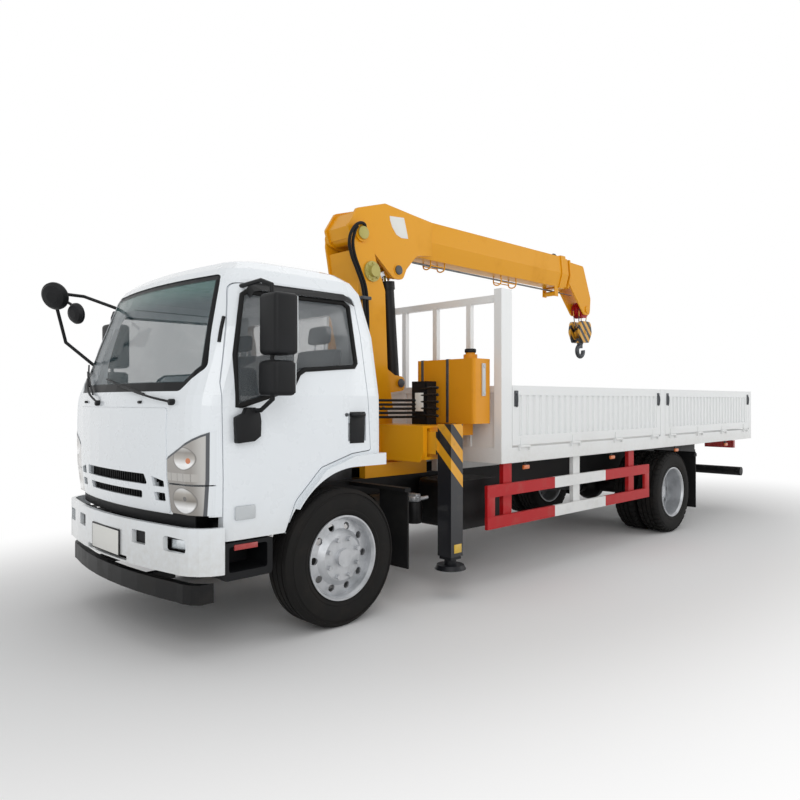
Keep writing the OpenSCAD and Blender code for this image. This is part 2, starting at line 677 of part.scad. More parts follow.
// A dish-shaped mirror head that faces along its own -x.
module round_mirror(r, t) {
  rotate([0, 90, 0]) rotate_extrude($fn = 48) polygon([[0, 0], [r, 0], [r, t * 0.3], [r * 0.8,
      t * 0.75], [r * 0.4, t], [0, t]]);
}
module front_mirrors() {
  elbow = [1270, 90 - cab_half, 2440];
  color("#1d1e20") {
    difference() {
      union() {
        pipe([[740, 190 - cab_half, 2330], [1020, 50 - cab_half, 2440], elbow, [front_reach - 88,
            270 - cab_half, 2395]], 13);
        pipe([[930, 90 - cab_half, 1860], [1150, 20 - cab_half, 2060], elbow], 13);
      }
      cab_solid(-slip, 1560, 2520);
    }
    translate([front_reach - 88, 280 - cab_half, 2390]) rotate([0, 20, 40]) round_mirror(105, 55);
    pipe([elbow, [1180, 350 - cab_half, 2300]], 11);
    translate([1180, 360 - cab_half, 2260]) rotate([0, 10, 20]) round_mirror(80, 50);
  }
}

// Doors

module door_body() {
  difference() {
    intersection() {
      cab_layer(0, wall_t, 715, 2462);
      door_hole(-door_gap / 2);
    }
    window_hole(0);
    box(-230, -60, cab_half - 22, cab_half + 20, 1300, 1500);
  }
  box(-215, -75, cab_half - 24, cab_half - 4, 1430, 1480);
}
module door_left() { color("#f3f4f4") door_body(); }
module door_right() { color("#f3f4f4") mirror([0, 1, 0]) door_body(); }
module glass_body() {
  intersection() {
    cab_layer(20, 26, 1560, 2380);
    window_hole(slip);
  }
}
module glass_left() { color("#9fb4b8") glass_body(); }
module glass_right() { color("#9fb4b8") mirror([0, 1, 0]) glass_body(); }
module mirror_body() {
  difference() {
    mirror_set();
    cab_solid(-slip, 1110, 2462);
  }
}
module mirror_set() {
  pipe([[735, 900, 2330], [720, 1130, 2345], [700, 1220, 2310], [700, 1230, 1600], [720, 1130, 1530],
      [760, 1030, 1530]], 14);
  rounded_head(1145, 1335, 1880, 2250, 690);
  rounded_head(1155, 1325, 1630, 1840, 690);
  box(700, 810, cab_half - 2, cab_half + 45, 1375, 1475);
}
module rounded_head(y0, y1, z0, z1, x) {
  front_plate(rounded([[y0, z0, 50], [y1, z0, 50], [y1, z1, 50], [y0, z1, 50]]), x - 30, x + 42);
}
module mirror_left() { color("#1d1e20") mirror_body(); }
module mirror_right() { color("#1d1e20") mirror([0, 1, 0]) mirror_body(); }

// Wheels

module tyre(y) {
  h = tyre_w / 2;
  shoulder = tyre_r - 22;
  color("#1a1a1b") translate([0, y, hub_z]) rotate([-90, 0, 0]) rotate_extrude($fn = round_fn)
    polygon([[bead_r, -h + 28], [bead_r + 18, -h + 12], [bead_r + 70, -h + 1], [bead_r + 110, -h],
        [shoulder - 30, -h + 8],
      [shoulder, -h + 20], [tyre_r - 8, -h + 30], [tyre_r, -h + 48], [tyre_r, h - 48], [tyre_r - 8,
          h - 30],
      [shoulder, h - 20], [shoulder - 30, h - 8], [bead_r + 110, h], [bead_r + 70, h - 1],
          [bead_r + 18, h - 12], [bead_r, h - 28]]);
}
// Rim barrel, disc and nuts. The disc leaves the barrel at d from the tyre's centre plane, its hub
// face is at face, and outside is +y.
module rim_shape(d, face, nuts) {
  h = tyre_w / 2 - 20;
  dish = face > d ? 0 : 10;
  rotate([-90, 0, 0]) {
    rotate_extrude($fn = round_fn) polygon([[rim_r, -h - 14], [rim_r, -h - 4], [bead_r - slip, -h + 6],
        [bead_r - slip, h - 6],
      [rim_r, h + 4], [rim_r, h + 14], [rim_r - 12, h + 14], [bead_r - 16, h - 8], [bead_r - 16,
          -h + 8], [rim_r - 12, -h - 14]]);
    difference() {
      rotate_extrude($fn = round_fn) polygon([[0, face - 12], [150 + dish, face - 12], [190 + dish,
          d - 6],
        [bead_r - 10, d - 22], [bead_r - 10, d - 6], [200 - dish, d + 8], [160 - dish, face], [0, face]]);
      for (i = [0:hand_hole_n - 1]) rotate([0, 0, i * 360 / hand_hole_n]) translate([222, 0,
          d - 60]) cylinder(r = 26, h = 120, $fn = 24);
    }
    if (nuts) for (i = [0:nut_n - 1]) rotate([0, 0, (i + 0.5) * 360 / nut_n]) translate([137, 0,
        face - 2]) cylinder(r = 17, h = 30, $fn = 6);
  }
}
module hub(r, y0, y1) {
  y_rod(0, 0, r, y0, y1);
  y_rod(0, 0, 62, y1 - 1, y1 + 35);
}
module front_rim() {
  color("#b9bcbf") translate([0, front_track_half, hub_z]) difference() {
    union() {
      rim_shape(60, 105, true);
      hub(100, 0, 100);
    }
    y_rod(0, 0, 36 + run_gap, -1, 93);
  }
}
module rear_rims() {
  color("#b9bcbf") translate([-wheelbase, rear_track_half, hub_z]) difference() {
    union() {
      rim_shape(-70, -132, true);
      translate([0, -twin_pitch, 0]) mirror([0, 1, 0]) rim_shape(-70, -132, false);
      hub(105, -240, -40);
    }
    y_rod(0, 0, 50 + run_gap, -241, -47);
  }
}
module knuckle() {
  color("#2b2c2f") {
    translate([0, king_y, 340]) cylinder(r = 25, h = 190);
    box(-50, 50, king_y - 45, king_y + 62, 334, 366);
    box(-50, 50, king_y - 45, king_y + 62, 494, 530);
    box(-55, 55, king_y + 57, king_y + 92, 334, 560);
    y_rod(0, hub_z, 36, king_y + 85, front_track_half + 80);
  }
}
module knuckle_left() { knuckle(); }
module knuckle_right() { mirror([0, 1, 0]) knuckle(); }
module tyre_front_left() { tyre(front_track_half); }
module tyre_front_right() { tyre(-front_track_half); }
module rim_front_left() { front_rim(); }
module rim_front_right() { mirror([0, 1, 0]) front_rim(); }
module tyres_rear_left() {
  translate([-wheelbase, 0, 0]) {
    tyre(rear_track_half);
    tyre(rear_track_half - twin_pitch);
  }
}
module tyres_rear_right() { mirror([0, 1, 0]) tyres_rear_left(); }
module rims_rear_left() { rear_rims(); }
module rims_rear_right() { mirror([0, 1, 0]) rear_rims(); }

// Crane

beam_half = 92;
module crane_base() {
  color("#e3a112") {
    both() for (z = [[beam_z - 119, beam_z - beam_half - slip], [beam_z + beam_half + slip,
        beam_z + 119]])
      box(leg_x - 70, leg_x + 70, 800, 925, z[0], z[1]);
    difference() {
      union() {
        box(leg_x - 130, leg_x + 130, -930, 930, beam_z - 140, beam_z + 140);
        both() box(leg_x - 420, leg_x + 340, rail_in, frame_w / 2, frame_top, 1050);
        box(leg_x - 330, leg_x + 330, -360, 360, 1040, beam_z - 130);
        translate([slew_x, 0, beam_z + 130]) cylinder(r = 330, h = 60);
        translate([slew_x, 0, beam_z + 185]) cylinder(r = 290, h = 55);
        both() side_plate([[leg_x - 280, beam_z - 145], [leg_x + 280, beam_z - 145], [leg_x + 180,
            beam_z + 135],
          [leg_x - 180, beam_z + 135]], 330, 350);
        both() front_plate([[480, 1085], [880, 1085], [925, 1160], [925, 1385], [560, 1385], [430,
            1200]], leg_x + 128, leg_x + 150);
      }
      box(leg_x - beam_half - 16, leg_x + beam_half + 16, -1000, 1000, beam_z - 118, beam_z + 118);
    }
  }
}
module oil_tank() {
  color("#e3a112") {
    translate([0, 0, 1395]) linear_extrude(555) polygon(rounded([
      [-1615, 445, 30], [-1385, 445, 30], [-1385, 1115, 30], [-1615, 1115, 30]]));
    box(-1600, -1400, 560, 680, 1300, 1400);
    box(-1600, -1400, 900, 925, 1300, 1400);
    box(-1600, leg_x - 130, 560, 925, 1290, 1312);
    translate([-1500, 980, 1945]) cylinder(r = 60, h = 45);
    translate([-1500, 980, 1985]) cylinder(r = 42, h = 30);
  }
}
// Valve block with five levers that reach out to the left.
module lever_valves() {
  color("#222326") {
    box(-1330, -1215, 550, 735, beam_z + 140, 1760);
    box(-1220, -1205, 570, 715, 1420, 1740);
    for (i = [0:4]) {
      bar([-1215, 650, 1470 + i * 56], [-1178, 790, 1466 + i * 58], 7);
      bar([-1181.7, 776, 1466.4 + i * 57.8], [-1162, 850, 1464 + i * 59], 14);
    }
  }
}
winch_x = slew_x - 5;
winch_z = 2755;
winch_r = 92;
module column() {
  color("#e6a514") difference() {
    union() {
      translate([slew_x, 0, beam_z + 240 + slip]) cylinder(r = 285, h = 40);
      both() side_plate(rounded([[slew_x + 270, beam_z + 279, 10], [slew_x + 195, 1700, 80],
          [slew_x + 150, 2650, 80],
        [slew_x + 215, 3000, 80], [slew_x + 205, pivot_z + 85, 80], [slew_x + 40, pivot_z + 85, 80],
            [slew_x - 60, 2860, 120],
        [slew_x - 170, 2600, 60], [slew_x - 200, 1900, 60], [slew_x - 270, beam_z + 279, 10]]),
            col_half - 24, col_half);
      side_plate(rounded([[slew_x + 262, beam_z + 279, 0], [slew_x + 187, 1700, 80], [slew_x + 142,
          2650, 80],
        [slew_x + 188, 2930, 0], [slew_x + 160, 2930, 0], [slew_x + 112, 2650, 80], [slew_x + 157,
            1700, 80],
        [slew_x + 220, beam_z + 279, 0]]), -col_half + 20, col_half - 20);
      side_plate([[slew_x - 262, beam_z + 279], [slew_x - 192, 1900], [slew_x - 162, 2560],
          [slew_x - 132, 2560],
        [slew_x - 160, 1900], [slew_x - 222, beam_z + 279]], -col_half + 20, col_half - 20);
      both() side_plate(rounded([[slew_x - 190, foot_pin_z - 110, 0], [foot_pin_x - 60,
          foot_pin_z - 70, 50],
        [foot_pin_x - 60, foot_pin_z + 60, 50], [foot_pin_x + 70, foot_pin_z + 75, 30], [slew_x - 190,
            foot_pin_z + 190, 0]]), 78, 100);
      y_rod(foot_pin_x, foot_pin_z, 32, -112, 112);
      both() y_rod(pivot_x, pivot_z, 78, col_half - 10, col_half + 22);
      y_rod(pivot_x, pivot_z, 45, -col_half - 30, col_half + 30);
    }
    both() y_rod(winch_x, winch_z, winch_r, col_half - 40, col_half + 10);
  }
}
module winch() {
  color("#8f8a3c") {
    y_rod(winch_x, winch_z, 82, -col_half + 40, col_half - 40);
    both() y_rod(winch_x, winch_z, winch_r - 0.4, col_half - 45, col_half + 18);
    both() y_rod(winch_x, winch_z, 52, col_half + 15, col_half + 55);
    both() for (i = [0:7]) rotate_about(winch_x, winch_z, i * 45)
      y_rod(winch_x + 73, winch_z, 9, col_half + 10, col_half + 28);
  }
}
module rotate_about(x, z, a) {
  translate([x, 0, z]) rotate([0, a, 0]) translate([-x, 0, -z]) children();
}
// Six-sided boom section as points in y-z, widest a little below its middle.
function boom_section(w, h) = [[-w * 0.34, -h / 2], [w * 0.34, -h / 2], [w / 2, -h * 0.06], [w * 0.42,
    h / 2], [-w * 0.42, h / 2], [-w / 2, -h * 0.06]];
module boom_tube(w, h, x0, x1) {
  translate([0, 0, boom_z]) difference() {
    front_plate(boom_section(w, h), x0, x1);
    front_plate(boom_section(w - 2 * boom_t, h - 2 * boom_t), x0 - 1, x1 + 1);
  }
}
pad_len = 160;
module boom_pads(w, h, x0, x1) {
  translate([0, 0, boom_z]) {
    box(x0, x1, -w * 0.25, w * 0.25, -h / 2 + boom_t - 1, -h / 2 + boom_t + nest_gap - slip);
  }
}
module rear_pads(w, h, x0, x1) {
  translate([0, 0, boom_z]) box(x0, x1, -w * 0.3, w * 0.3, h / 2 - 1, h / 2 + nest_gap - slip);
}
root_end = pivot_x - 620;
module boom_base() {
  inner = col_half - 24 - 8;
  color("#e6a514") difference() {
    union() {
      boom_tube(boom_w, boom_h, boom_end, root_end);
      translate([0, 0, boom_z]) difference() {
        front_plate(boom_section(boom_w + 26, boom_h + 26), boom_end - 10, boom_end + 90);
        front_plate(boom_section(boom_w - 2 * boom_t, boom_h - 2 * boom_t), boom_end - 20,
            boom_end + 100);
      }
      boom_pads(boom_w, boom_h, boom_end, boom_end + pad_len);
      both() side_plate(rounded([[pivot_x + 85, pivot_z - 70, 60], [pivot_x + 130, pivot_z + 60, 40],
          [pivot_x + 20, pivot_z + 230, 30],
        [pivot_x - 320, pivot_z + 334, 40], [root_end - 60, boom_z + boom_h / 2 + 6, 60],
            [root_end - 330, boom_z + boom_h / 2 - 20, 0],
        [root_end - 330, boom_z - boom_h / 2 + 20, 0], [root_end - 120, boom_z - boom_h / 2 - 10, 100],
            [lug_x - 110, lug_z + 20, 60],
        [lug_x - 60, lug_z - 85, 60], [lug_x + 60, lug_z - 85, 60], [pivot_x - 180, pivot_z - 140,
            120]]), inner - 30, inner);
      box(root_end - 20, root_end + 6, -inner + 20, inner - 20, boom_z - boom_h / 2,
          boom_z + boom_h / 2 - 8);
      side_plate([[pivot_x + 12, pivot_z + 205], [pivot_x - 320, pivot_z + 310], [root_end - 60,
          boom_z + boom_h / 2 - 14],
        [root_end - 60, boom_z + boom_h / 2 - 26], [pivot_x - 320, pivot_z + 286], [pivot_x + 12,
            pivot_z + 181]],
        -inner + 20, inner - 20);
      side_plate([[pivot_x + 78, pivot_z - 40], [pivot_x + 112, pivot_z + 58], [pivot_x + 12,
          pivot_z + 205],
        [pivot_x + 2, pivot_z + 190], [pivot_x + 98, pivot_z + 52], [pivot_x + 64, pivot_z - 40]],
            -inner + 20, inner - 20);
      y_rod(pivot_x, pivot_z, 80, -inner, inner);
      both() y_rod(lug_x, lug_z, 58, inner - 40, inner + 4);
      both() side_plate(rounded([[lug_x - 75, lug_z - 70, 60], [lug_x + 75, lug_z - 70, 60],
          [lug_x + 150, boom_z - boom_h / 2 + 40, 0],
        [lug_x - 190, boom_z - boom_h / 2 + 40, 0]]), eye_w + 2, eye_w + 24);
      box(lug_x - 170, lug_x + 140, -inner + 10, inner - 10, boom_z - boom_h / 2 + 20,
          boom_z - boom_h / 2 + 42);
      box(root_end - 2, root_end + 120, -inner + 20, inner - 20, boom_z + 60, boom_z + 90);
    }
    y_rod(pivot_x, pivot_z, 45 + run_gap, -400, 400);
  }
}
mid_end = boom_end - 75;
module boom_middle() {
  color("#e6a514") {
    boom_tube(mid_w, mid_h, mid_end, root_end - 60);
    translate([0, 0, boom_z]) difference() {
      front_plate(boom_section(mid_w + 24, mid_h + 24), mid_end - 10, mid_end + 50);
      front_plate(boom_section(mid_w - 2 * boom_t, mid_h - 2 * boom_t), mid_end - 20, mid_end + 60);
    }
    boom_pads(mid_w, mid_h, mid_end, mid_end + pad_len);
    rear_pads(mid_w, mid_h, root_end - 60 - pad_len, root_end - 60);
  }
}
tip_end = mid_end - 65;
module boom_tip() {
  color("#e6a514") difference() {
    union() {
      boom_tube(tip_w, tip_h, tip_end, root_end - 110);
      rear_pads(tip_w, tip_h, root_end - 110 - pad_len, root_end - 110);
      translate([0, 0, boom_z]) front_plate(boom_section(tip_w + 60, tip_h + 70), tip_end - 22,
          tip_end + 8);
      both() side_plate(rounded([[tip_end, boom_z + 150, 20], [tip_end - 330, boom_z + 140, 50],
          [head_x - 90, head_z + 150, 60],
        [head_x - 70, head_z - 70, 70], [head_x + 70, head_z - 70, 70], [tip_end, boom_z - 120, 40]]),
            84, 100);
      y_rod(head_x, head_z, 26, -110, 110);
      both() y_rod(head_x, head_z, 44, 98, 112);
      y_rod(tip_end - 200, boom_z + 60, 20, -95, 95);
    }
    translate([0, 0, boom_z]) front_plate(boom_section(tip_w - 2 * boom_t, tip_h - 2 * boom_t),
        tip_end - 1, tip_end + 50);
  }
}
module sheave(r, w, bore) {
  rotate([90, 0, 0]) rotate_extrude($fn = round_fn) polygon([[bore, -w / 2], [r, -w / 2], [r,
      -w / 2 + 3], [r - 16, -rope_r - 1],
    [r - 16, rope_r + 1], [r, w / 2 - 3], [r, w / 2], [bore, w / 2]]);
}
module head_sheaves() {
  color("#7d2a22") for (y = [-45, 0, 45]) {
    translate([head_x, y, head_z]) sheave(sheave_r, 34, 26 + slip);
    if (y == 0) translate([tip_end - 200, y, boom_z + 60]) sheave(90, 34, 20 + slip);
  }
}
rope_r = 6;
sheave_r = 105;
fall_x = sheave_r - 16 + rope_r + 1;
block_z = head_z - 285;
block_low = 140;
block_sheave_r = 85;
block_fall = block_sheave_r - 16 + rope_r - 1;
module hook_block() {
  color("#e0a010") {
    both() side_plate(rounded([[head_x - 75, block_z - block_low, 20], [head_x + 75,
        block_z - block_low, 20],
      [head_x + 150, block_z - 10, 60], [head_x + 120, block_z + 135, 60], [head_x - 120,
          block_z + 135, 60],
      [head_x - 150, block_z - 10, 60]]), 52, 84);
    y_rod(head_x, block_z, 26, -94, 94);
    for (y = [-22, 22]) translate([head_x, y, block_z]) sheave(block_sheave_r, 34, 25);
    difference() {
      box(head_x - 60, head_x + 60, -84, 84, block_z - block_low, block_z - 100);
      translate([head_x, 0, block_z - 200]) cylinder(r = 28 + run_gap, h = 120);
    }
    for (s = [-1, 1]) {
      bar([head_x + s * block_fall, 22, block_z], [head_x + s * fall_x, 45, head_z], rope_r);
      bar([head_x + s * block_fall, -22, block_z], [head_x + s * fall_x, -45, head_z], rope_r);
    }
  }
}
hook_r = 72;
module hook() {
  color("#27282b") translate([head_x, 0, block_z - block_low]) {
    translate([0, 0, -20]) cylinder(r = 28, h = 66);
    translate([0, 0, 40 + slip]) cylinder(r = 40, h = 10);
    translate([0, 0, -18 - slip]) cylinder(r = 40, h = 18);
    translate([0, 0, -70]) cylinder(r = 33, h = 60);
    translate([0, 0, -35 - hook_r]) rotate([90, 0, 0]) rotate([0, 0, 170])
      rotate_extrude(angle = 287, $fn = round_fn) translate([hook_r, 0]) circle(r = 27, $fn = 36);
  }
}

eye_w = 64;
module cyl_frame() {
  translate([foot_pin_x, 0, foot_pin_z]) rotate([0, cyl_lean, 0]) children();
}
module lift_barrel() {
  color("#202124") cyl_frame() difference() {
    union() {
      rotate([90, 0, 0]) cylinder(r = 58, h = eye_w * 2, center = true);
      translate([0, 0, 30]) cylinder(r = barrel_r, h = cyl_len - 135);
      translate([0, 0, cyl_len - 165]) cylinder(r = barrel_r + 10, h = 75);
    }
    rotate([90, 0, 0]) cylinder(r = 32 + run_gap, h = 300, center = true);
    translate([0, 0, 90]) cylinder(r = rod_r + run_gap, h = cyl_len);
  }
}
module lift_rod() {
  color("#c9cccf") cyl_frame() {
    translate([0, 0, 110]) cylinder(r = rod_r, h = cyl_len - 130);
    translate([0, 0, cyl_len]) rotate([90, 0, 0]) cylinder(r = 56, h = eye_w * 1.6, center = true);
    translate([0, 0, cyl_len]) rotate([90, 0, 0]) cylinder(r = 34, h = eye_w * 1.9, center = true);
  }
}
// Beam that slides in the base and the outer tube of its leg.
module outrigger() {
  leg_in = leg_out - leg_w;
  color("#e3a112") {
    difference() {
      box(leg_x - beam_half, leg_x + beam_half, 60, leg_in + 10, beam_z - beam_half, beam_z + beam_half);
      box(leg_x - beam_half + 10, leg_x + beam_half - 10, 50, leg_in, beam_z - beam_half + 10,
          beam_z + beam_half - 10);
    }
    difference() {
      box(leg_x - leg_w / 2, leg_x + leg_w / 2, leg_in, leg_out, 330, 1400);
      box(leg_x - leg_w / 2 + 10, leg_x + leg_w / 2 - 10, leg_in + 10, leg_out - 10, 329, 1380);
    }
  }
}
module jack() {
  w = leg_w / 2 - 10 - slip;
  c = leg_out - leg_w / 2;
  color("#2c2d30") {
    box(leg_x - w, leg_x + w, c - w, c + w, foot_z + 80, 1200);
    translate([leg_x, c, foot_z + 30]) cylinder(r = 48, h = 60);
    translate([leg_x, c, foot_z]) cylinder(r1 = 130, r2 = 110, h = 35);
  }
}
module beam_left() { outrigger(); }
module beam_right() { mirror([0, 1, 0]) outrigger(); }
module jack_left() { jack(); }
module jack_right() { mirror([0, 1, 0]) jack(); }

module place() {
  translate([origin_x, 0, 0]) children();
}
place() frame();
place() front_axle();
place() rear_axle();
place() powertrain();
place() chassis_tanks();
place() bumper();
place() underrun_bars();
place() side_guards();
place() mudflaps();
place() tail_lamps();
place() steps();
place() bed_floor();
place() bed_frame();
place() crane_base();
place() oil_tank();
place() lever_valves();
place() cab_shell();
place() cab_glass();
place() front_panel();
place() grille();
place() headlamps();
place() dashboard();
place() seats();
place() front_mirrors();
place() door_left();
place() door_right();
place() glass_left();
place() glass_right();
place() mirror_left();
place() mirror_right();
place() knuckle_left();
place() knuckle_right();
place() tyre_front_left();
place() tyre_front_right();
place() rim_front_left();
place() rim_front_right();
place() tyres_rear_left();
place() tyres_rear_right();
place() rims_rear_left();
place() rims_rear_right();
place() side_front_left();
place() side_rear_left();
place() side_front_right();
place() side_rear_right();
place() tailgate();
place() column();
place() winch();
place() boom_base();
place() boom_middle();
place() boom_tip();
place() head_sheaves();
place() hook_block();
place() hook();
place() lift_barrel();
place() lift_rod();
place() beam_left();
place() beam_right();
place() jack_left();
place() jack_right();
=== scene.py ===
import math

import bpy
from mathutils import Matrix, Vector


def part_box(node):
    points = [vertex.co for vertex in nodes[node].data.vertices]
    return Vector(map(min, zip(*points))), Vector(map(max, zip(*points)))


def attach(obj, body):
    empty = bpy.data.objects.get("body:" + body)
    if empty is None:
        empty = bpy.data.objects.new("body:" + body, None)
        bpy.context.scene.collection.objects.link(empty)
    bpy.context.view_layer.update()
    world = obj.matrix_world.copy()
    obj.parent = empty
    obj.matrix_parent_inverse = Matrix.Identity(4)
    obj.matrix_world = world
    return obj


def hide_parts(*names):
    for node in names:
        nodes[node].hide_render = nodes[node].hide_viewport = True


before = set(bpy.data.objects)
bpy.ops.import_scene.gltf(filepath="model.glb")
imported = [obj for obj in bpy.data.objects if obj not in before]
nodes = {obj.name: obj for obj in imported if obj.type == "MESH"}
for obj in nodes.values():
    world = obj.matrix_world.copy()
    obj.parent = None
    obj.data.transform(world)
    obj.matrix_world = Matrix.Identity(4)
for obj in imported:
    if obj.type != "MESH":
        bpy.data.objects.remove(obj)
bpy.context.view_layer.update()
bpy.context.scene.view_settings.view_transform = "Standard"
print("frame loaded,", len(nodes), "nodes")

# Places below are in truck metres: x forward from the front axle, y to the left, z up.
axleLow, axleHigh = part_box("tyre_front_left")
axleX = (axleLow.x + axleHigh.x) / 2


def at(x, y, z):
    return Vector((axleX + x, y, z))


# Camera at the photograph's place

view = {"place": (3.142, 4.846, 1.588), "yaw": 45.576, "pitch": 0.087,
        "focalPixels": 694.6, "imagePixels": 800, "sensor": 36}
yaw, pitch = math.radians(view["yaw"]), math.radians(view["pitch"])
level = math.cos(pitch)
lookAlong = Vector((-math.cos(yaw) * level, -math.sin(yaw) * level, math.sin(pitch)))
cameraData = bpy.data.cameras.new("photoCamera")
cameraData.sensor_width = view["sensor"]
cameraData.sensor_fit = "HORIZONTAL"
cameraData.lens = view["focalPixels"] / view["imagePixels"] * cameraData.sensor_width
camera = bpy.data.objects.new("photoCamera", cameraData)
camera.location = at(*view["place"])
camera.rotation_euler = lookAlong.to_track_quat("-Z", "Y").to_euler()
bpy.context.scene.collection.objects.link(camera)
bpy.context.scene.camera = camera


# Shader helpers

class Val:
    # a shader socket that can stand in sums
    def __init__(self, finish, socket):
        self.finish = finish
        self.socket = socket

    def calc(self, operation, first, second):
        return self.finish.node("ShaderNodeMath", {"operation": operation}, {0: first, 1: second})

    def __add__(self, other):
        return self.calc("ADD", self, other)

    def __sub__(self, other):
        return self.calc("SUBTRACT", self, other)

    def __rsub__(self, other):
        return self.calc("SUBTRACT", other, self)

    def __mul__(self, other):
        return self.calc("MULTIPLY", self, other)

    def __truediv__(self, other):
        return self.calc("DIVIDE", self, other)

    def __gt__(self, other):
        return self.calc("GREATER_THAN", self, other)

    def __lt__(self, other):
        return self.calc("LESS_THAN", self, other)

    def __mod__(self, other):
        return self.calc("FLOORED_MODULO", self, other)

    def __abs__(self):
        return self.calc("ABSOLUTE", self, 0.0)

    def least(self, other):
        return self.calc("MINIMUM", self, other)

    def most(self, other):
        return self.calc("MAXIMUM", self, other)

    __radd__ = __add__
    __rmul__ = __mul__


class Finish:
    # one material, built node by node on Object coordinates
    def __init__(self, name):
        self.material = bpy.data.materials.new(name)
        self.material.use_nodes = True
        self.tree = self.material.node_tree
        self.tree.nodes.clear()
        self.place = self.node("ShaderNodeTexCoord", out="Object")

    def node(self, kind, settings=None, sockets=None, out=0):
        made = self.tree.nodes.new(kind)
        for key, value in (settings or {}).items():
            if key == "stops":
                while len(made.color_ramp.elements) < len(value):
                    made.color_ramp.elements.new(0.5)
                for element, (position, colour) in zip(made.color_ramp.elements, value):
                    element.position = position
                    element.color = colour
            else:
                setattr(made, key, value)
        for key, value in (sockets or {}).items():
            if isinstance(value, Val):
                self.tree.links.new(value.socket, made.inputs[key])
            else:
                made.inputs[key].default_value = value
        return Val(self, made.outputs[out]) if made.outputs else None

    def xyz(self):
        split = self.node("ShaderNodeSeparateXYZ", None, {0: self.place})
        return [Val(self, socket) for socket in split.socket.node.outputs]

    def noise(self, scale, detail=4.0, roughness=0.55, stretch=None):
        where = self.place
        if stretch:
            where = self.node("ShaderNodeMapping", None, {"Vector": self.place, "Scale": stretch})
        return self.node("ShaderNodeTexNoise", None,
                         {"Vector": where, "Scale": scale, "Detail": detail, "Roughness": roughness})

    def between(self, value, low, high, first=0.0, last=1.0):
        # first below low, last above high, eased in between
        return self.node("ShaderNodeMapRange", {"interpolation_type": "SMOOTHSTEP"},
                         {"Value": value, "From Min": low, "From Max": high,
                          "To Min": first, "To Max": last})

    def mix(self, factor, first, second):
        return self.node("ShaderNodeMix", {"data_type": "RGBA"}, {0: factor, 6: first, 7: second}, out=2)

    def bump(self, height, strength, distance):
        return self.node("ShaderNodeBump", None,
                         {"Height": height, "Strength": strength, "Distance": distance})

    def done(self, **sockets):
        shader = self.node("ShaderNodeBsdfPrincipled", None, sockets)
        self.node("ShaderNodeOutputMaterial", None, {"Surface": shader})
        return self.material


def rgb(code):
    # a written colour as linear values
    parts = [int(code[i:i + 2], 16) / 255 for i in (1, 3, 5)]
    return tuple(p / 12.92 if p <= 0.04045 else ((p + 0.055) / 1.055) ** 2.4 for p in parts) + (1.0,)


# Finishes

def paintedPanel(name, colour, dirtColour, dirtTop, roughness=0.28, coat=0.7):
    # glossy paint with faint orange peel and road dust low down
    f = Finish(name)
    z = f.xyz()[2]
    cloud = f.noise(2.2, 5)
    dust = f.between(z + (cloud - 0.5) * 0.5, dirtTop - 0.55, dirtTop, 0.5, 0.0) * f.noise(26, 6)
    colourNow = f.mix(f.noise(0.8, 3) * 0.22, rgb(colour[0]), rgb(colour[1]))
    colourNow = f.mix(dust, colourNow, rgb(dirtColour))
    rough = roughness + dust * 0.5 + (f.noise(9, 3) - 0.5) * 0.08
    return f.done(**{"Base Color": colourNow, "Roughness": rough, "Coat Weight": coat,
                     "Coat Roughness": 0.06, "Normal": f.bump(f.noise(420, 2), 0.015, 0.0004)})


def cranePaint(name, colour, deep):
    # thick machine enamel, greasier and scuffed in places
    f = Finish(name)
    patch = f.noise(3.1, 6, 0.6)
    scuff = f.between(f.noise(38, 8, 0.7), 0.66, 0.72)
    grime = f.between(patch, 0.52, 0.78, 0.0, 0.45)
    colourNow = f.mix(grime, rgb(colour), rgb(deep))
    colourNow = f.mix(scuff * 0.35, colourNow, rgb("#6b5a3a"))
    return f.done(**{"Base Color": colourNow, "Roughness": 0.36 + grime * 0.4 + scuff * 0.2,
                     "Specular IOR Level": 0.28, "Normal": f.bump(f.noise(160, 3), 0.08, 0.001)})


def plainBlack(name, colour, worn, roughness, grain, strength=0.25):
    # moulded or painted black with grain and a dusty bloom
    f = Finish(name)
    bloom = f.between(f.noise(5.5, 6, 0.6), 0.45, 0.75, 0.0, 0.55)
    colourNow = f.mix(bloom, rgb(colour), rgb(worn))
    return f.done(**{"Base Color": colourNow, "Roughness": roughness + bloom * 0.2,
                     "Specular IOR Level": 0.25, "Normal": f.bump(f.noise(grain, 3), strength, 0.0008)})


def bareMetal(name, colour, dull, roughness, metallic, grain=90, stretch=None):
    # metal with dull clouds and a fine grain
    f = Finish(name)
    cloud = f.noise(7, 5, 0.6)
    brushed = f.noise(grain, 4, 0.6, stretch)
    colourNow = f.mix(f.between(cloud, 0.35, 0.75), rgb(colour), rgb(dull))
    rough = roughness + (brushed - 0.5) * 0.18 + cloud * 0.06
    return f.done(**{"Base Color": colourNow, "Roughness": rough, "Metallic": metallic,
                     "Normal": f.bump(brushed, 0.06, 0.0006)})


def seeThrough(name, colour, alpha, roughness=0.03):
    # tinted glass with a faint film
    f = Finish(name)
    film = f.noise(3.3, 4)
    tint = f.mix(film * 0.3, rgb(colour), rgb("#e9eef0"))
    return f.done(**{"Base Color": tint, "Roughness": roughness + film * 0.03,
                     "Alpha": f.between(film, 0.3, 0.8, alpha, alpha + 0.05),
                     "Coat Weight": 1.0, "Coat Roughness": 0.02})


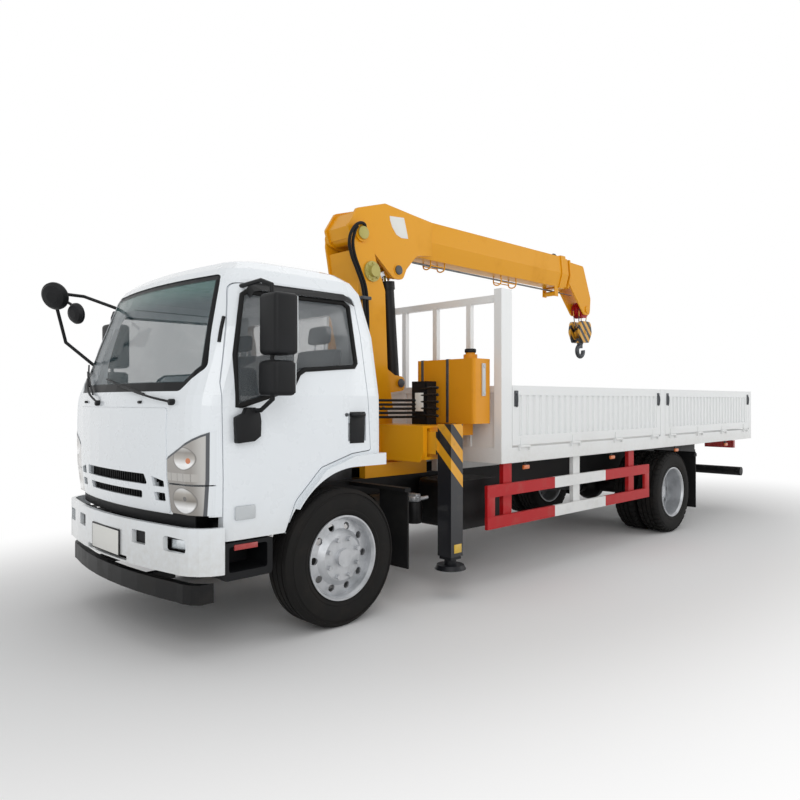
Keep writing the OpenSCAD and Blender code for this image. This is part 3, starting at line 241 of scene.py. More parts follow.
def lampLens(name, colour, alpha, ribs):
    # moulded lens with fine prisms
    f = Finish(name)
    prisms = f.node("ShaderNodeTexWave", {"bands_direction": "Z"}, {"Vector": f.place, "Scale": ribs})
    tone = f.mix(f.noise(40, 2) * 0.06, rgb(colour), rgb("#ffffff"))
    return f.done(**{"Base Color": tone, "Roughness": 0.16 + prisms * 0.06, "Alpha": alpha,
                     "Coat Weight": 0.3, "Normal": f.bump(prisms, 0.3, 0.002)})


# Each slanting edge is a place (y, z) on it and the direction (y, z) that leads out over it.
screenShape = {"side": ((0.955, 1.795), (0.9705, 0.2407)), "slant": ((0.8, 1.65), (0.683, -0.7305)),
               "sill": 1.665, "head": 2.425, "border": (0.04, 0.052), "shade": (2.2, 2.36), "front": 0.7}


def screenGlass(name):
    # laminated screen with a black printed border, greener towards its top
    s = screenShape
    f = Finish(name)
    x, y, z = f.xyz()
    across = abs(y)
    inset = (s["head"] - z).least(z - s["sill"])
    for (edgeY, edgeZ), (overY, overZ) in (s["side"], s["slant"]):
        inset = inset.least((edgeY - across) * overY + (edgeZ - z) * overZ)
    border = f.between(inset, *s["border"], 1.0, 0.0) * (x > axleX + s["front"])
    film = f.noise(3.3, 4)
    tint = f.mix(f.between(z, *s["shade"]), rgb("#4f7078"), rgb("#3f7f78"))
    return f.done(**{"Base Color": f.mix(border, tint, rgb("#101113")),
                     "Roughness": 0.03 + film * 0.03 + border * 0.4,
                     "Alpha": border.most(f.between(z, *s["shade"], 0.14, 0.4)),
                     "Coat Weight": 1.0 - border * 0.95, "Coat Roughness": 0.02,
                     "Specular IOR Level": 0.12})


# Round things in the lamp are (y, z, half width, half height).
lampShape = {"upperBowl": (0.872, 1.235, 0.097, 0.074), "lowerBowl": (0.853, 0.972, 0.108, 0.086),
             "bulb": (0.915, 1.222, 0.019, 0.019), "socket": (0.868, 0.985, 0.02, 0.016),
             "strip": (1.094, 1.142), "stripEnd": 0.975, "tickStep": 0.058, "tickWidth": 0.004,
             "divider": (1.066, 1.078), "topEdge": (0.718, 1.236, 0.534), "rim": (1.03, 1.034),
             "housing": (1.012, 1.014)}


def lampUnit(name):
    # lens over a grey housing: a bowl in each half with a painted reflection and painted shade at its edge,
    # an amber bulb, a strip of small lamps, a dark rim
    s = lampShape
    f = Finish(name)
    x, y, z = f.xyz()
    across = abs(y)

    def disc(cy, cz, wide, high):
        dy, dz = (across - cy) / wide, (z - cz) / high
        return dy * dy + dz * dz, dz

    def bowl(under, place, reflectionTones):
        # a reflector drawn flat: a painted reflection as bands of tone over its height, and painted shade
        # darkening its edge
        reach, dz = disc(*place)
        stops = [(i / (len(reflectionTones) - 1), rgb(tone)) for i, tone in enumerate(reflectionTones)]
        inside = f.node("ShaderNodeValToRGB", {"stops": stops}, {0: dz * 0.5 + 0.5})
        # painted shade: the bowl darkens towards its rim
        inside = f.mix(f.between(reach, 0.72, 0.9), inside, rgb("#7b7874"))
        return f.mix(f.between(reach, 0.93, 1.0, 1.0, 0.0), under, inside)

    def spot(under, place, tone):
        return f.mix(f.between(disc(*place)[0], 0.7, 1.0, 1.0, 0.0), under, rgb(tone))

    def behind(places):
        return f.between(x, axleX + places[0], axleX + places[1], 1.0, 0.0)

    strip = (z > s["strip"][0]) * (z < s["strip"][1]) * (across < s["stripEnd"])
    ticks = strip * ((across % s["tickStep"]) < s["tickWidth"])
    base = f.mix(f.between(z, 0.9, 1.4), rgb("#8d8882"), rgb("#a19d98"))
    base = f.mix(f.between(across, 0.93, 1.0) * 0.5, base, rgb("#d9d9d6"))
    base = f.mix(strip, base, rgb("#b4b1ac"))
    base = f.mix(ticks, base, rgb("#77746f"))
    # the bowls' bright lower bands and darker upper bands are a painted reflection, their darker edges
    # painted shade
    base = bowl(base, s["upperBowl"], ("#f2f4f4", "#ffffff", "#b7b2ab", "#8e8983", "#d5d4d1"))
    base = bowl(base, s["lowerBowl"], ("#e9ebeb", "#ffffff", "#7d776e", "#a9a39a", "#f1f2f2"))
    base = spot(base, s["bulb"], "#cf7a4a")
    base = spot(base, s["socket"], "#55524e")
    edgeY, edgeZ, rise = s["topEdge"]
    underTop = edgeZ + (across - edgeY) * rise - z
    rim = behind(s["rim"]).most((z > s["divider"][0]) * (z < s["divider"][1]))
    rim = rim.most(f.between(underTop, 0.012, 0.016, 1.0, 0.0))
    base = f.mix(rim, base, rgb("#3d4147"))
    base = f.mix(behind(s["housing"]), base, rgb("#e6ebef"))
    return f.done(**{"Base Color": base, "Roughness": 0.16 + f.noise(20, 3) * 0.06,
                     "Coat Weight": 0.8, "Coat Roughness": 0.02})


def hazardBands(name, light, dark, period, start, high, rest, out=-1.0):
    # bands that fall outwards and rearwards from a first slanting edge, plain paint below and inside
    f = Finish(name)
    x, y, z = f.xyz()
    across = abs(y)
    along = across - x + z - start
    band = f.between(along % period, period * 0.48, period * 0.52)
    leg = across > out
    zone = (along > 0) * (z < high) * leg
    wear = f.between(f.noise(6, 6, 0.6), 0.5, 0.8, 0.0, 0.4)
    colour = f.mix(zone, f.mix(leg, rgb(light), rgb(rest)), f.mix(band, rgb(light), rgb(dark)))
    colour = f.mix(wear, colour, rgb("#4a4640"))
    return f.done(**{"Base Color": colour, "Roughness": 0.38 + wear * 0.3, "Coat Weight": 0.2,
                     "Normal": f.bump(f.noise(120, 3), 0.1, 0.001)})


def guardBands(name, whiteFrom, whiteTo):
    # red bars with one white length
    f = Finish(name)
    x = f.xyz()[0]
    white = (x > axleX + whiteFrom) * (x < axleX + whiteTo)
    dust = f.between(f.noise(9, 6), 0.45, 0.8, 0.0, 0.15)
    colour = f.mix(dust, f.mix(white, rgb("#b5151b"), rgb("#e6e7e6")), rgb("#8d857a"))
    return f.done(**{"Base Color": colour, "Roughness": 0.4 + dust * 0.4, "Specular IOR Level": 0.28})


cabWhite = paintedPanel("cabWhite", ("#e9eef2", "#dfe5ea"), "#b3a995", 1.0)
bedWhite = paintedPanel("bedWhite", ("#e9ebeb", "#dfe2e2"), "#b5ad9d", 1.35, 0.4, 0.25)
craneYellow = cranePaint("craneYellow", "#e6a011", "#cf8a10")
tankYellow = cranePaint("tankYellow", "#e0961a", "#bd7a12")
chassisBlack = plainBlack("chassisBlack", "#0d0d0e", "#252321", 0.45, 60)
blackPlastic = plainBlack("blackPlastic", "#0e0f11", "#1e1f22", 0.5, 340)
rubberBlack = plainBlack("rubberBlack", "#0f0f10", "#242320", 0.72, 190)
tyreRubber = plainBlack("tyreRubber", "#121110", "#2b2724", 0.78, 240, 0.35)
legPaint = plainBlack("legPaint", "#15161a", "#2a2a2d", 0.38, 90)
wheelSilver = bareMetal("wheelSilver", "#c6c8cb", "#a5a8ab", 0.36, 0.5)
ironGrey = bareMetal("ironGrey", "#55585c", "#3c3e41", 0.5, 0.5)
rodChrome = bareMetal("rodChrome", "#dfe2e5", "#c9cdd1", 0.12, 1.0, 300, (1, 1, 6))
ropeSteel = bareMetal("ropeSteel", "#8b8d8f", "#5f6163", 0.45, 0.8, 400)
mirrorGlass = bareMetal("mirrorGlass", "#eef2f4", "#dfe5e8", 0.03, 1.0)
windowGlass = seeThrough("windowGlass", "#2a3338", 0.36)
clearLens = lampLens("clearLens", "#c9ced1", 0.9, 40)
redLens = lampLens("redLens", "#a81712", 1.0, 60)
amberLens = lampLens("amberLens", "#d86a12", 1.0, 60)
yellowLens = lampLens("yellowLens", "#d9b016", 1.0, 60)
winchOlive = cranePaint("winchOlive", "#b8ae62", "#857c3a")
signalRed = cranePaint("signalRed", "#b01d20", "#7d1416")
seatCloth = plainBlack("seatCloth", "#4c535b", "#5f676f", 0.85, 420, 0.5)
dashGrey = plainBlack("dashGrey", "#3b3d41", "#4a4c50", 0.62, 380, 0.3)
screenPane = screenGlass("screenPane")
headlampUnit = lampUnit("headlampUnit")
lampBright = bareMetal("lampBright", "#e8edf0", "#cfd6da", 0.08, 0.7)
legBands = hazardBands("legBands", "#e0a01c", "#1b1b1e", period=0.2, start=3.2305 - axleX, high=1.41,
                       rest="#1d1e22", out=1.013)
blockBands = hazardBands("blockBands", "#dba12f", "#1d1d1f", period=0.13, start=-20.0, high=9.0,
                         rest="#dba12f")
guardPaint = guardBands("guardPaint", -3.475, -2.527)
plateBlank = paintedPanel("plateBlank", ("#e9e9e4", "#dedfda"), "#b3a995", 0.2, 0.45, 0.1)
print("finishes made")


# The frame's own pieces

nodeFinish = [
    (chassisBlack, "frame front_axle rear_axle chassis_tanks underrun_bars lift_barrel"),
    (ironGrey, "powertrain knuckle_left knuckle_right hook"),
    (cabWhite, "cab_shell front_panel door_left door_right bumper"),
    (blackPlastic, "grille steps lever_valves front_mirrors mirror_left mirror_right"),
    (screenPane, "cab_glass"),
    (windowGlass, "glass_left glass_right"),
    (headlampUnit, "headlamps"),
    (redLens, "tail_lamps"),
    (dashGrey, "dashboard"),
    (seatCloth, "seats"),
    (tyreRubber, "tyre_front_left tyre_front_right tyres_rear_left tyres_rear_right"),
    (wheelSilver, "rim_front_left rim_front_right rims_rear_left rims_rear_right"),
    (rubberBlack, "mudflaps"),
    (guardPaint, "side_guards"),
    (bedWhite, "bed_floor bed_frame tailgate"),
    (bedWhite, "side_front_left side_rear_left side_front_right side_rear_right"),
    (craneYellow, "crane_base column boom_base boom_middle boom_tip"),
    (tankYellow, "oil_tank"),
    (winchOlive, "winch"),
    (signalRed, "head_sheaves"),
    (blockBands, "hook_block"),
    (rodChrome, "lift_rod"),
    (legBands, "beam_left beam_right"),
    (legPaint, "jack_left jack_right"),
]
for finish, names in nodeFinish:
    for name in names.split():
        mesh = nodes[name].data
        mesh.materials.clear()
        mesh.materials.append(finish)
print("frame dressed")


# Modelling helpers

def clearSelection():
    if bpy.context.object and bpy.context.object.mode != "OBJECT":
        bpy.ops.object.mode_set(mode="OBJECT")
    bpy.ops.object.select_all(action="DESELECT")


def pick(*pieces):
    clearSelection()
    for piece in pieces:
        piece.select_set(True)
    bpy.context.view_layer.objects.active = pieces[0]


def settle(piece, name):
    pick(piece)
    bpy.ops.object.transform_apply(location=True, rotation=True, scale=True)
    piece.name = name
    return piece


def roundOff(piece, width, segments=2, angle=50):
    pick(piece)
    bevel = piece.modifiers.new("roundOff", "BEVEL")
    bevel.width = width
    bevel.segments = segments
    bevel.limit_method = "ANGLE"
    bevel.angle_limit = math.radians(angle)
    bpy.ops.object.modifier_apply(modifier=bevel.name)
    bpy.ops.object.shade_smooth_by_angle(angle=math.radians(38))
    return piece


def block(name, low, high, width=0.003):
    clearSelection()
    a, b = at(*low), at(*high)
    bpy.ops.mesh.primitive_cube_add(size=1, location=(a + b) / 2, scale=b - a)
    return roundOff(settle(bpy.context.object, name), width)


def rod(name, start, end, radius, width=0.003, sides=28):
    clearSelection()
    a, b = at(*start), at(*end)
    turn = (b - a).to_track_quat("Z", "Y").to_euler()
    bpy.ops.mesh.primitive_cylinder_add(vertices=sides, radius=radius, depth=(b - a).length,
                                        location=(a + b) / 2, rotation=turn)
    return roundOff(settle(bpy.context.object, name), width)


def plate(name, points, push, width=0.0):
    # a flat outline drawn on the truck and extruded to its thickness
    clearSelection()
    bpy.ops.mesh.primitive_circle_add(vertices=len(points), radius=1, fill_type="NGON")
    piece = bpy.context.object
    piece.name = name
    for vertex, point in zip(piece.data.vertices, points):
        vertex.co = at(*point)
    bpy.ops.object.mode_set(mode="EDIT")
    bpy.ops.mesh.select_all(action="SELECT")
    bpy.ops.mesh.extrude_region_move(TRANSFORM_OT_translate={"value": push})
    bpy.ops.mesh.select_all(action="SELECT")
    bpy.ops.mesh.normals_make_consistent(inside=False)
    bpy.ops.object.mode_set(mode="OBJECT")
    return roundOff(piece, width, 2, 60) if width else piece


def bezier(points, handles="AUTO"):
    # a curve through places on the truck
    clearSelection()
    bpy.ops.curve.primitive_bezier_curve_add(radius=1, location=(0, 0, 0))
    line = bpy.context.object.data
    spline = line.splines[0]
    spline.bezier_points.add(len(points) - 2)
    for knot, point in zip(spline.bezier_points, points):
        knot.handle_left_type = knot.handle_right_type = handles
        knot.co = at(*point)
    return line


def tube(name, points, radius, closed=False, handles="AUTO", sides=4, steps=8):
    # a bezier line with a round section, made a mesh
    line = bezier(points, handles)
    line.splines[0].use_cyclic_u = closed
    line.bevel_depth = radius
    line.bevel_resolution = sides
    line.resolution_u = steps
    line.use_fill_caps = not closed
    bpy.ops.object.convert(target="MESH")
    piece = settle(bpy.context.object, name)
    bpy.ops.object.shade_smooth_by_angle(angle=math.radians(45))
    return piece


def otherSide(piece, name):
    # a copy mirrored to the truck's right
    pick(piece)
    bpy.ops.object.duplicate(linked=False, mode="TRANSLATION")
    made = bpy.context.object
    made.scale = (1, -1, 1)
    settle(made, name)
    bpy.ops.object.mode_set(mode="EDIT")
    bpy.ops.mesh.select_all(action="SELECT")
    bpy.ops.mesh.normals_make_consistent(inside=False)
    bpy.ops.object.mode_set(mode="OBJECT")
    return made


def join(name, pieces):
    pick(*pieces)
    if len(pieces) > 1:
        bpy.ops.object.join()
    pieces[0].name = name
    return pieces[0]


def dress(piece, finish, body):
    piece.data.materials.clear()
    piece.data.materials.append(finish)
    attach(piece, body)
    return piece


def pair(piece, finish, bodies):
    # the piece on the left and its mirror on the right
    mirrored = otherSide(piece, piece.name.replace("Left", "Right"))
    dress(piece, finish, bodies[0])
    dress(mirrored, finish, bodies[1])


# Both sides of a pair that stays on the chassis
onChassis = ("chassis", "chassis")

# The cab's outer faces, as (height, half width) and (height, x on the middle line)
cabShape = {"halfWidths": [(0.715, 1.038), (1.11, 1.05), (1.625, 1.05), (2.06, 1.005), (2.38, 0.938),
                           (2.462, 0.9)],
            "front": [(0.876, 1.172), (1.11, 1.2), (1.42, 1.206), (1.56, 1.2), (1.625, 1.19), (2.38, 0.905),
                      (2.462, 0.85)],
            "bow": 8}


def readOff(levels, z):
    # the value at a height between listed ones
    for (z0, v0), (z1, v1) in zip(levels, levels[1:]):
        if z <= z1:
            return v0 + (v1 - v0) * (z - z0) / (z1 - z0)
    return levels[-1][1]


def skin(z):
    # half width of the cab at a height
    return readOff(cabShape["halfWidths"], z)


def bowed(x, y):
    # a front face falls back towards the sides
    return x - y * y / cabShape["bow"]


def brow(y, z):
    # x of the cab's front at a place on it
    return bowed(readOff(cabShape["front"], z), y)


def onShell(x, y, z):
    # the nearest place on the cab's shell
    shell = nodes["cab_shell"]
    place = shell.closest_point_on_mesh(shell.matrix_world.inverted() @ at(x, y, z))[1]
    return tuple(shell.matrix_world @ place - at(0, 0, 0))


# Tyres: one closed profile, spun, with lugs raised on the ribs

tyreShape = {"bead": 0.2905, "face": 0.4765, "lug": 0.008, "half": 0.1275, "groove": 0.011, "steps": 120,
             "shoulderRib": (0.062, 0.113), "middleRib": (0.01, 0.046), "shoulderRadius": 0.458,
             "twinWidth": 0.4}


def spinTyre(name, centre):
    t = tyreShape
    h, face, deep = t["half"], t["face"], t["face"] - t["groove"]
    side = [(t["bead"], h - 0.028), (0.308, h - 0.012), (0.33, h - 0.004), (0.338, h - 0.007),
            (0.36, h - 0.001), (0.40, h), (0.432, h - 0.004), (0.436, h - 0.009), (0.452, h - 0.012),
            (0.466, h - 0.02), (face, h - 0.033)]
    tread = [(face, 0.062), (deep, 0.058), (deep, 0.05), (face, 0.046), (face, 0.007), (deep, 0.004)]
    right = side + tread
    profile = right + [(r, -y) for r, y in reversed(right)]
    clearSelection()
    bpy.ops.mesh.primitive_circle_add(vertices=len(profile), radius=1, fill_type="NOTHING")
    piece = bpy.context.object
    piece.name = name
    for vertex, (r, y) in zip(piece.data.vertices, profile):
        vertex.co = centre + Vector((r, y, 0))
    bpy.ops.object.mode_set(mode="EDIT")
    bpy.ops.mesh.select_all(action="SELECT")
    bpy.ops.mesh.spin(steps=t["steps"], angle=2 * math.pi, center=centre, axis=(0, 1, 0))
    bpy.ops.mesh.select_all(action="SELECT")
    bpy.ops.mesh.remove_doubles(threshold=0.0004)
    bpy.ops.mesh.normals_make_consistent(inside=False)
    bpy.ops.mesh.select_all(action="DESELECT")
    bpy.ops.object.mode_set(mode="OBJECT")
    lowShoulder, highShoulder = t["shoulderRib"]
    lowMiddle, highMiddle = t["middleRib"]
    for polygon in piece.data.polygons:
        out = polygon.center - centre
        step = int((math.atan2(out.z, out.x) / (2 * math.pi) % 1) * t["steps"] + 0.5)
        radius = math.hypot(out.x, out.z)
        onShoulder = radius > t["shoulderRadius"] and lowShoulder < abs(out.y) < highShoulder
        onMiddle = radius > face - 0.003 and lowMiddle < abs(out.y) < highMiddle
        polygon.select = onShoulder and step % 3 != 0 or onMiddle and (step + (out.y > 0)) % 4 != 0
    bpy.ops.object.mode_set(mode="EDIT")
    bpy.ops.mesh.select_mode(type="FACE")
    bpy.ops.mesh.extrude_region_shrink_fatten(TRANSFORM_OT_shrink_fatten={"value": t["lug"]})
    bpy.ops.mesh.select_all(action="DESELECT")
    bpy.ops.object.mode_set(mode="OBJECT")
    bpy.ops.object.shade_smooth_by_angle(angle=math.radians(30))
    return piece


def makeTyres():
    wheels = {"tyre_front_left": "front_left_wheel", "tyre_front_right": "front_right_wheel",
              "tyres_rear_left": "rear_left_wheels", "tyres_rear_right": "rear_right_wheels"}
    for node, body in wheels.items():
        low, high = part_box(node)
        middle = (low + high) / 2
        places = [middle.y]
        if high.y - low.y >= tyreShape["twinWidth"]:
            places = [low.y + tyreShape["half"], high.y - tyreShape["half"]]
        made = [spinTyre(node + "Tread", Vector((middle.x, y, middle.z))) for y in places]
        piece = dress(join(node + "Tread", made), tyreRubber, body)
        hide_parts(node)


makeTyres()
print("tyres spun")


# Cab front: wipers, washer jets, pillar strips, plate, lamps in the bumper, the dark cover over the gap

wiperShape = {"pivots": [(-0.23, 1.574), (0.766, 1.582)], "tips": [(-0.694, 1.758), (0.13, 1.69)],
              "blade": 0.66, "lift": 0.016, "knee": 0.18, "jets": (-0.552, 0.413), "jetHeight": 1.58}


def makeWipers():
    s = wiperShape
    lift = s["lift"]
    for index, ((py, pz), (ty, tz)) in enumerate(zip(s["pivots"], s["tips"])):
        along = Vector((0, ty - py, tz - pz)).normalized()
        knee = Vector((0, py, pz)) + along * s["knee"]
        spots = [(py, pz, 0.012), (knee.y, knee.z, 0.034), (ty, tz, lift + 0.008)]
        arm = tube("wiperArm", [(brow(y, z) + out, y, z) for y, z, out in spots], 0.0075)
        hub = rod("wiperHub", (brow(py, pz) - 0.02, py, pz), (brow(py, pz) + 0.03, py, pz), 0.02, 0.006)
        half = along * s["blade"] / 2
        blade = []
        for share in (-1, -0.5, 0, 0.5, 1):
            y, z = ty + half.y * share, tz + half.z * share
            blade.append((brow(y, z) + lift - 0.006, y, z))
        strip = tube("wiperBlade", blade, 0.0065)
        yoke = tube("wiperYoke", [(x + 0.009, y, z) for x, y, z in blade[1:4]], 0.005)
        dress(join("wiper%d" % index, [arm, hub, strip, yoke]), blackPlastic, "cab")
    z = s["jetHeight"]
    for y in s["jets"]:
        face = brow(y, z)
        jet = block("washerJet", (face - 0.01, y - 0.018, z - 0.008),
                    (face + 0.014, y + 0.018, z + 0.01), 0.005)
        dress(jet, blackPlastic, "cab")


frontTrim = {"cover": {"front": 1.146, "steps": 18, "low": 0.802, "deep": 0.008},
             "coverHeight": 0.073,
             "shelf": {"front": 1.212, "steps": 19, "low": 0.733, "deep": 0.14, "tuck": 2},
             "shelfHeight": 0.01,
             "plateMid": 0.02, "plateHalf": 0.22, "plateLow": 0.565, "plateHigh": 0.725,
             "pillarStrip": [(0.942, 0.995, 1.97), (0.92, 0.981, 2.05), (0.895, 0.965, 2.14)],
             "fog": (0.845, 0.708), "fogSlant": 0.3, "fogOutline": (0.09, 0.03, 0.08, 0.038),
             "towWell": (0.383, 0.572, 0.664, 0.766), "towWellBack": 1.07, "towWellFront": 1.213}


def bowedBand(front, steps, low, deep, tuck=0):
    # a band seen from above: a bowed front edge, drawn in more at its ends by tuck, and a back edge
    edge = []
    for step in range(-steps, steps + 1):
        y = step / 20
        edge.append((bowed(front, y) - tuck * max(0, abs(y) - 0.8) ** 2, y, low))
    return edge + [(x - deep, y, z) for x, y, z in reversed(edge)]


def makeFrontTrim():
    s = frontTrim
    cover = plate("lowerCover", bowedBand(**s["cover"]), (0, 0, s["coverHeight"]))
    dress(cover, blackPlastic, "cab")
    shelf = plate("bumperShelf", bowedBand(**s["shelf"]), (0, 0, s["shelfHeight"]))
    dress(shelf, blackPlastic, "chassis")
    y0, y1 = s["plateMid"] - s["plateHalf"], s["plateMid"] + s["plateHalf"]
    z0, z1 = s["plateLow"], s["plateHigh"]
    holder = block("plateHolder", (1.243, y0 - 0.012, z0 - 0.01), (1.2485, y1 + 0.012, z1 + 0.01), 0.002)
    dress(holder, blackPlastic, "chassis")
    blank = block("blankPlate", (1.247, y0, z0), (1.2505, y1, z1), 0.001)
    dress(blank, plateBlank, "chassis")
    strip = tube("pillarStripLeft", [onShell(*p) for p in s["pillarStrip"]], 0.012)
    pair(strip, blackPlastic, ("cab", "cab"))
    y, z = s["fog"]
    well = block("fogWellLeft", (1.05, y - 0.125, z - 0.065), (1.062, y + 0.12, z + 0.065), 0.004)
    pair(well, blackPlastic, onChassis)
    wide, cornerLow, inner, high = s["fogOutline"]
    corner = [(-wide, -cornerLow), (-inner, -high), (inner, -high), (wide, -cornerLow)]
    outline = corner + [(u, -v) for u, v in reversed(corner)]
    lens = [(1.115 - s["fogSlant"] * (u + wide), y + u, z + v) for u, v in outline]
    pair(plate("fogLensLeft", lens, (0.012, 0, 0), 0.004), lampBright, onChassis)
    y0, y1, z0, z1 = s["towWell"]
    back, front = s["towWellBack"], s["towWellFront"]
    edge = [(back, y0, z0), (bowed(front, y0), y0, z0), (bowed(front, y1), y1, z0), (back, y1, z0)]
    towWell = plate("towWellLeft", edge, (0, 0, z1 - z0), 0.003)
    pair(towWell, blackPlastic, onChassis)


makeWipers()
makeFrontTrim()
print("front trim made")


# Doors: window seals, rain visors, handles, side lamps, step markers, mirror housings with their glass

doorShape = {"window": [(0.842, 1.56), (0.84, 1.88), (0.752, 2.27), (0.72, 2.292), (-0.09, 2.298),
                        (-0.132, 2.27), (-0.15, 1.86), (-0.13, 1.835), (0.31, 1.80), (0.36, 1.77),
                        (0.41, 1.69), (0.45, 1.664), (0.81, 1.56)],
             "visor": [(0.725, 2.30), (0.69, 2.345), (0.62, 2.362), (-0.1, 2.362), (-0.17, 2.33)],
             "visorDrop": 0.052, "handle": (-0.21, -0.075, 1.285, 1.51),
             "mirrors": {"tall": ((0.578, 1.138, 1.868), (0.75, 1.345, 2.262)),
                         "low": ((0.592, 1.128, 1.618), (0.75, 1.345, 1.842))},
             "mirrorEdge": 0.02,
             "mirrorFoot": [(0.872, 1.488), (0.815, 1.512), (0.797, 1.548), (0.735, 1.548), (0.70, 1.51),
                            (0.692, 1.46), (0.695, 1.365), (0.74, 1.335), (0.865, 1.325)]}


def mirrorShell(name, low, high):
    # a housing that narrows a little to its front, with soft edges
    clearSelection()
    a, b = at(*low), at(*high)
    bpy.ops.mesh.primitive_cube_add(size=1, location=(a + b) / 2, scale=b - a)
    piece = settle(bpy.context.object, name)
    for polygon in piece.data.polygons:
        polygon.select = polygon.normal.x > 0.5
    bpy.ops.object.mode_set(mode="EDIT")
    bpy.ops.mesh.select_mode(type="FACE")
    bpy.ops.transform.resize(value=(1, 0.95, 0.97))
    bpy.ops.object.mode_set(mode="OBJECT")
    return roundOff(piece, 0.03, 5)


def makeDoors():
    s = doorShape
    bodies = ("left_door", "right_door")
    rim = [(x, skin(z) + 0.001, z) for x, z in s["window"]]
    seal = tube("windowSealLeft", rim, 0.017, True, "VECTOR", 3, 2)
    pair(seal, rubberBlack, bodies)
    drop = s["visorDrop"]
    upper = [(x, skin(z) + 0.004, z) for x, z in s["visor"]]
    lower = [(x * 0.985, skin(z - drop) + 0.03, z - drop) for x, z in reversed(s["visor"])]
    visor = plate("rainVisorLeft", upper + lower, (0, 0.004, 0.001))
    pair(visor, blackPlastic, bodies)
    x0, x1, z0, z1 = s["handle"]
    outline = [(x0, z0), (x0 - 0.01, z1), (x1, z1), (x1, z0)]
    cup = plate("handleCupLeft", [(x, 1.0505, z) for x, z in outline], (0, 0.004, 0), 0.002)
    pair(cup, blackPlastic, bodies)
    grip = tube("handleGripLeft", [(x0 + 0.01, 1.052, z1 - 0.02), (x0 + 0.02, 1.078, z1 - 0.022),
                                   (x1 - 0.02, 1.078, z1 - 0.022), (x1 - 0.01, 1.052, z1 - 0.02)], 0.011)
    pair(grip, blackPlastic, bodies)
    lock = rod("doorLockLeft", (x1 + 0.03, 1.048, z1 - 0.02), (x1 + 0.03, 1.056, z1 - 0.02), 0.013, 0.002)
    pair(lock, ironGrey, bodies)
    repeater = block("sideLampLeft", (0.71, 1.04, 0.845), (0.855, 1.062, 0.932), 0.009)
    pair(repeater, clearLens, bodies)
    marker = block("stepMarkerLeft", (0.68, 1.026, 0.655), (0.85, 1.036, 0.69), 0.003)
    pair(marker, redLens, onChassis)
    for name, (low, high) in s["mirrors"].items():
        pair(mirrorShell(name + "MirrorShellLeft", low, high), blackPlastic, bodies)
        edge = Vector((0, s["mirrorEdge"], s["mirrorEdge"]))
        glassLow, glassHigh = Vector(low) + edge, Vector(high) - edge
        glassLow.x, glassHigh.x = low[0] - 0.002, low[0] + 0.002
        glass = block(name + "MirrorGlassLeft", glassLow, glassHigh, 0.0015)
        pair(glass, mirrorGlass, bodies)
    foot = plate("mirrorFootLeft", [(x, 1.049, z) for x, z in s["mirrorFoot"]], (0, 0.053, 0), 0.01)
    pair(foot, blackPlastic, bodies)


makeDoors()
print("doors trimmed")


# Crane: hoses, levers, blank chart, pins, bolts, rope run and guides, tank fittings

hoseShape = {"columnHose": 0.014, "valveHose": 0.011, "bends": 24, "clips": (2.5, 2.12),
             "valveLow": 1.45, "valveStep": 0.036, "valves": 5, "standSides": (-0.12, 0.12)}
columnRoutes = {
    "columnHose": [(-0.895, 0.197, 3.135), (-0.845, 0.232, 3.108), (-0.805, 0.252, 3.05),
                   (-0.785, 0.255, 2.965), (-0.81, 0.252, 2.86), (-0.872, 0.25, 2.736), (-0.935, 0.25, 2.6),
                   (-0.962, 0.248, 2.4), (-0.968, 0.246, 2.2), (-0.97, 0.242, 2.0), (-0.972, 0.225, 1.84),
                   (-0.972, 0.197, 1.77)],
    "columnHoseTwo": [(-0.985, 0.197, 3.13), (-0.93, 0.238, 3.155), (-0.865, 0.252, 3.15),
                      (-0.79, 0.255, 3.09), (-0.745, 0.255, 2.975), (-0.77, 0.253, 2.86),
                      (-0.835, 0.252, 2.735), (-0.897, 0.252, 2.6), (-0.925, 0.25, 2.4),
                      (-0.932, 0.248, 2.2), (-0.934, 0.244, 2.0), (-0.936, 0.227, 1.84),
                      (-0.936, 0.197, 1.77)],
}


def valveRoute(index):
    # round the front of the column, spreading where it comes down
    z, spread = hoseShape["valveLow"] + index * hoseShape["valveStep"], index * 0.03
    return [(-1.204, 0.60, z), (-1.14, 0.592, z), (-1.05, 0.56, z), (-0.90, 0.47, z), (-0.77, 0.32, z),
            (-0.70, 0.12, z), (-0.70, -0.12, z), (-0.77, -0.32, z), (-0.88, -0.46, z - 0.01),
            (-0.99, -0.545 - spread, z - 0.03), (-1.06, -0.565 - spread, z - 0.06 - index * 0.01),
            (-1.09, -0.57 - spread, 1.383)]


def hose(name, points, radius, body):
    # a hose that leaves the object at its first point and goes back in at its last
    bezier(points).resolution_u = hoseShape["bends"]
    bpy.ops.object.convert(target="MESH")
    guide = bpy.context.object
    route = [vertex.co.copy() for vertex in guide.data.vertices]
    start = at(*points[0])
    if (route[0] - start).length > (route[-1] - start).length:
        route.reverse()
    bpy.data.objects.remove(guide)
    piece = tube(name, points, radius, steps=hoseShape["bends"])
    dress(piece, rubberBlack, body)


def makeHoses():
    s = hoseShape
    for name, route in columnRoutes.items():
        hose(name, route, s["columnHose"], "crane_column")
    for z in s["clips"]:
        clip = block("hoseClip", (-0.995, 0.199, z - 0.015), (-0.895, 0.268, z + 0.015), 0.006)
        dress(clip, ironGrey, "crane_column")
    for index in range(s["valves"]):
        hose("valveHose%d" % index, valveRoute(index), s["valveHose"], "chassis")
    stand = [rod("hoseStand", (-0.735, y, 1.10), (-0.735, y, 1.63), 0.012) for y in s["standSides"]]
    stand.append(block("hoseStandFoot", (-0.84, -0.15, 1.10), (-0.715, 0.15, 1.118), 0.004))
    dress(join("hoseStand", stand), chassisBlack, "chassis")


leverShape = {"count": 5, "low": 1.464, "step": 0.059}


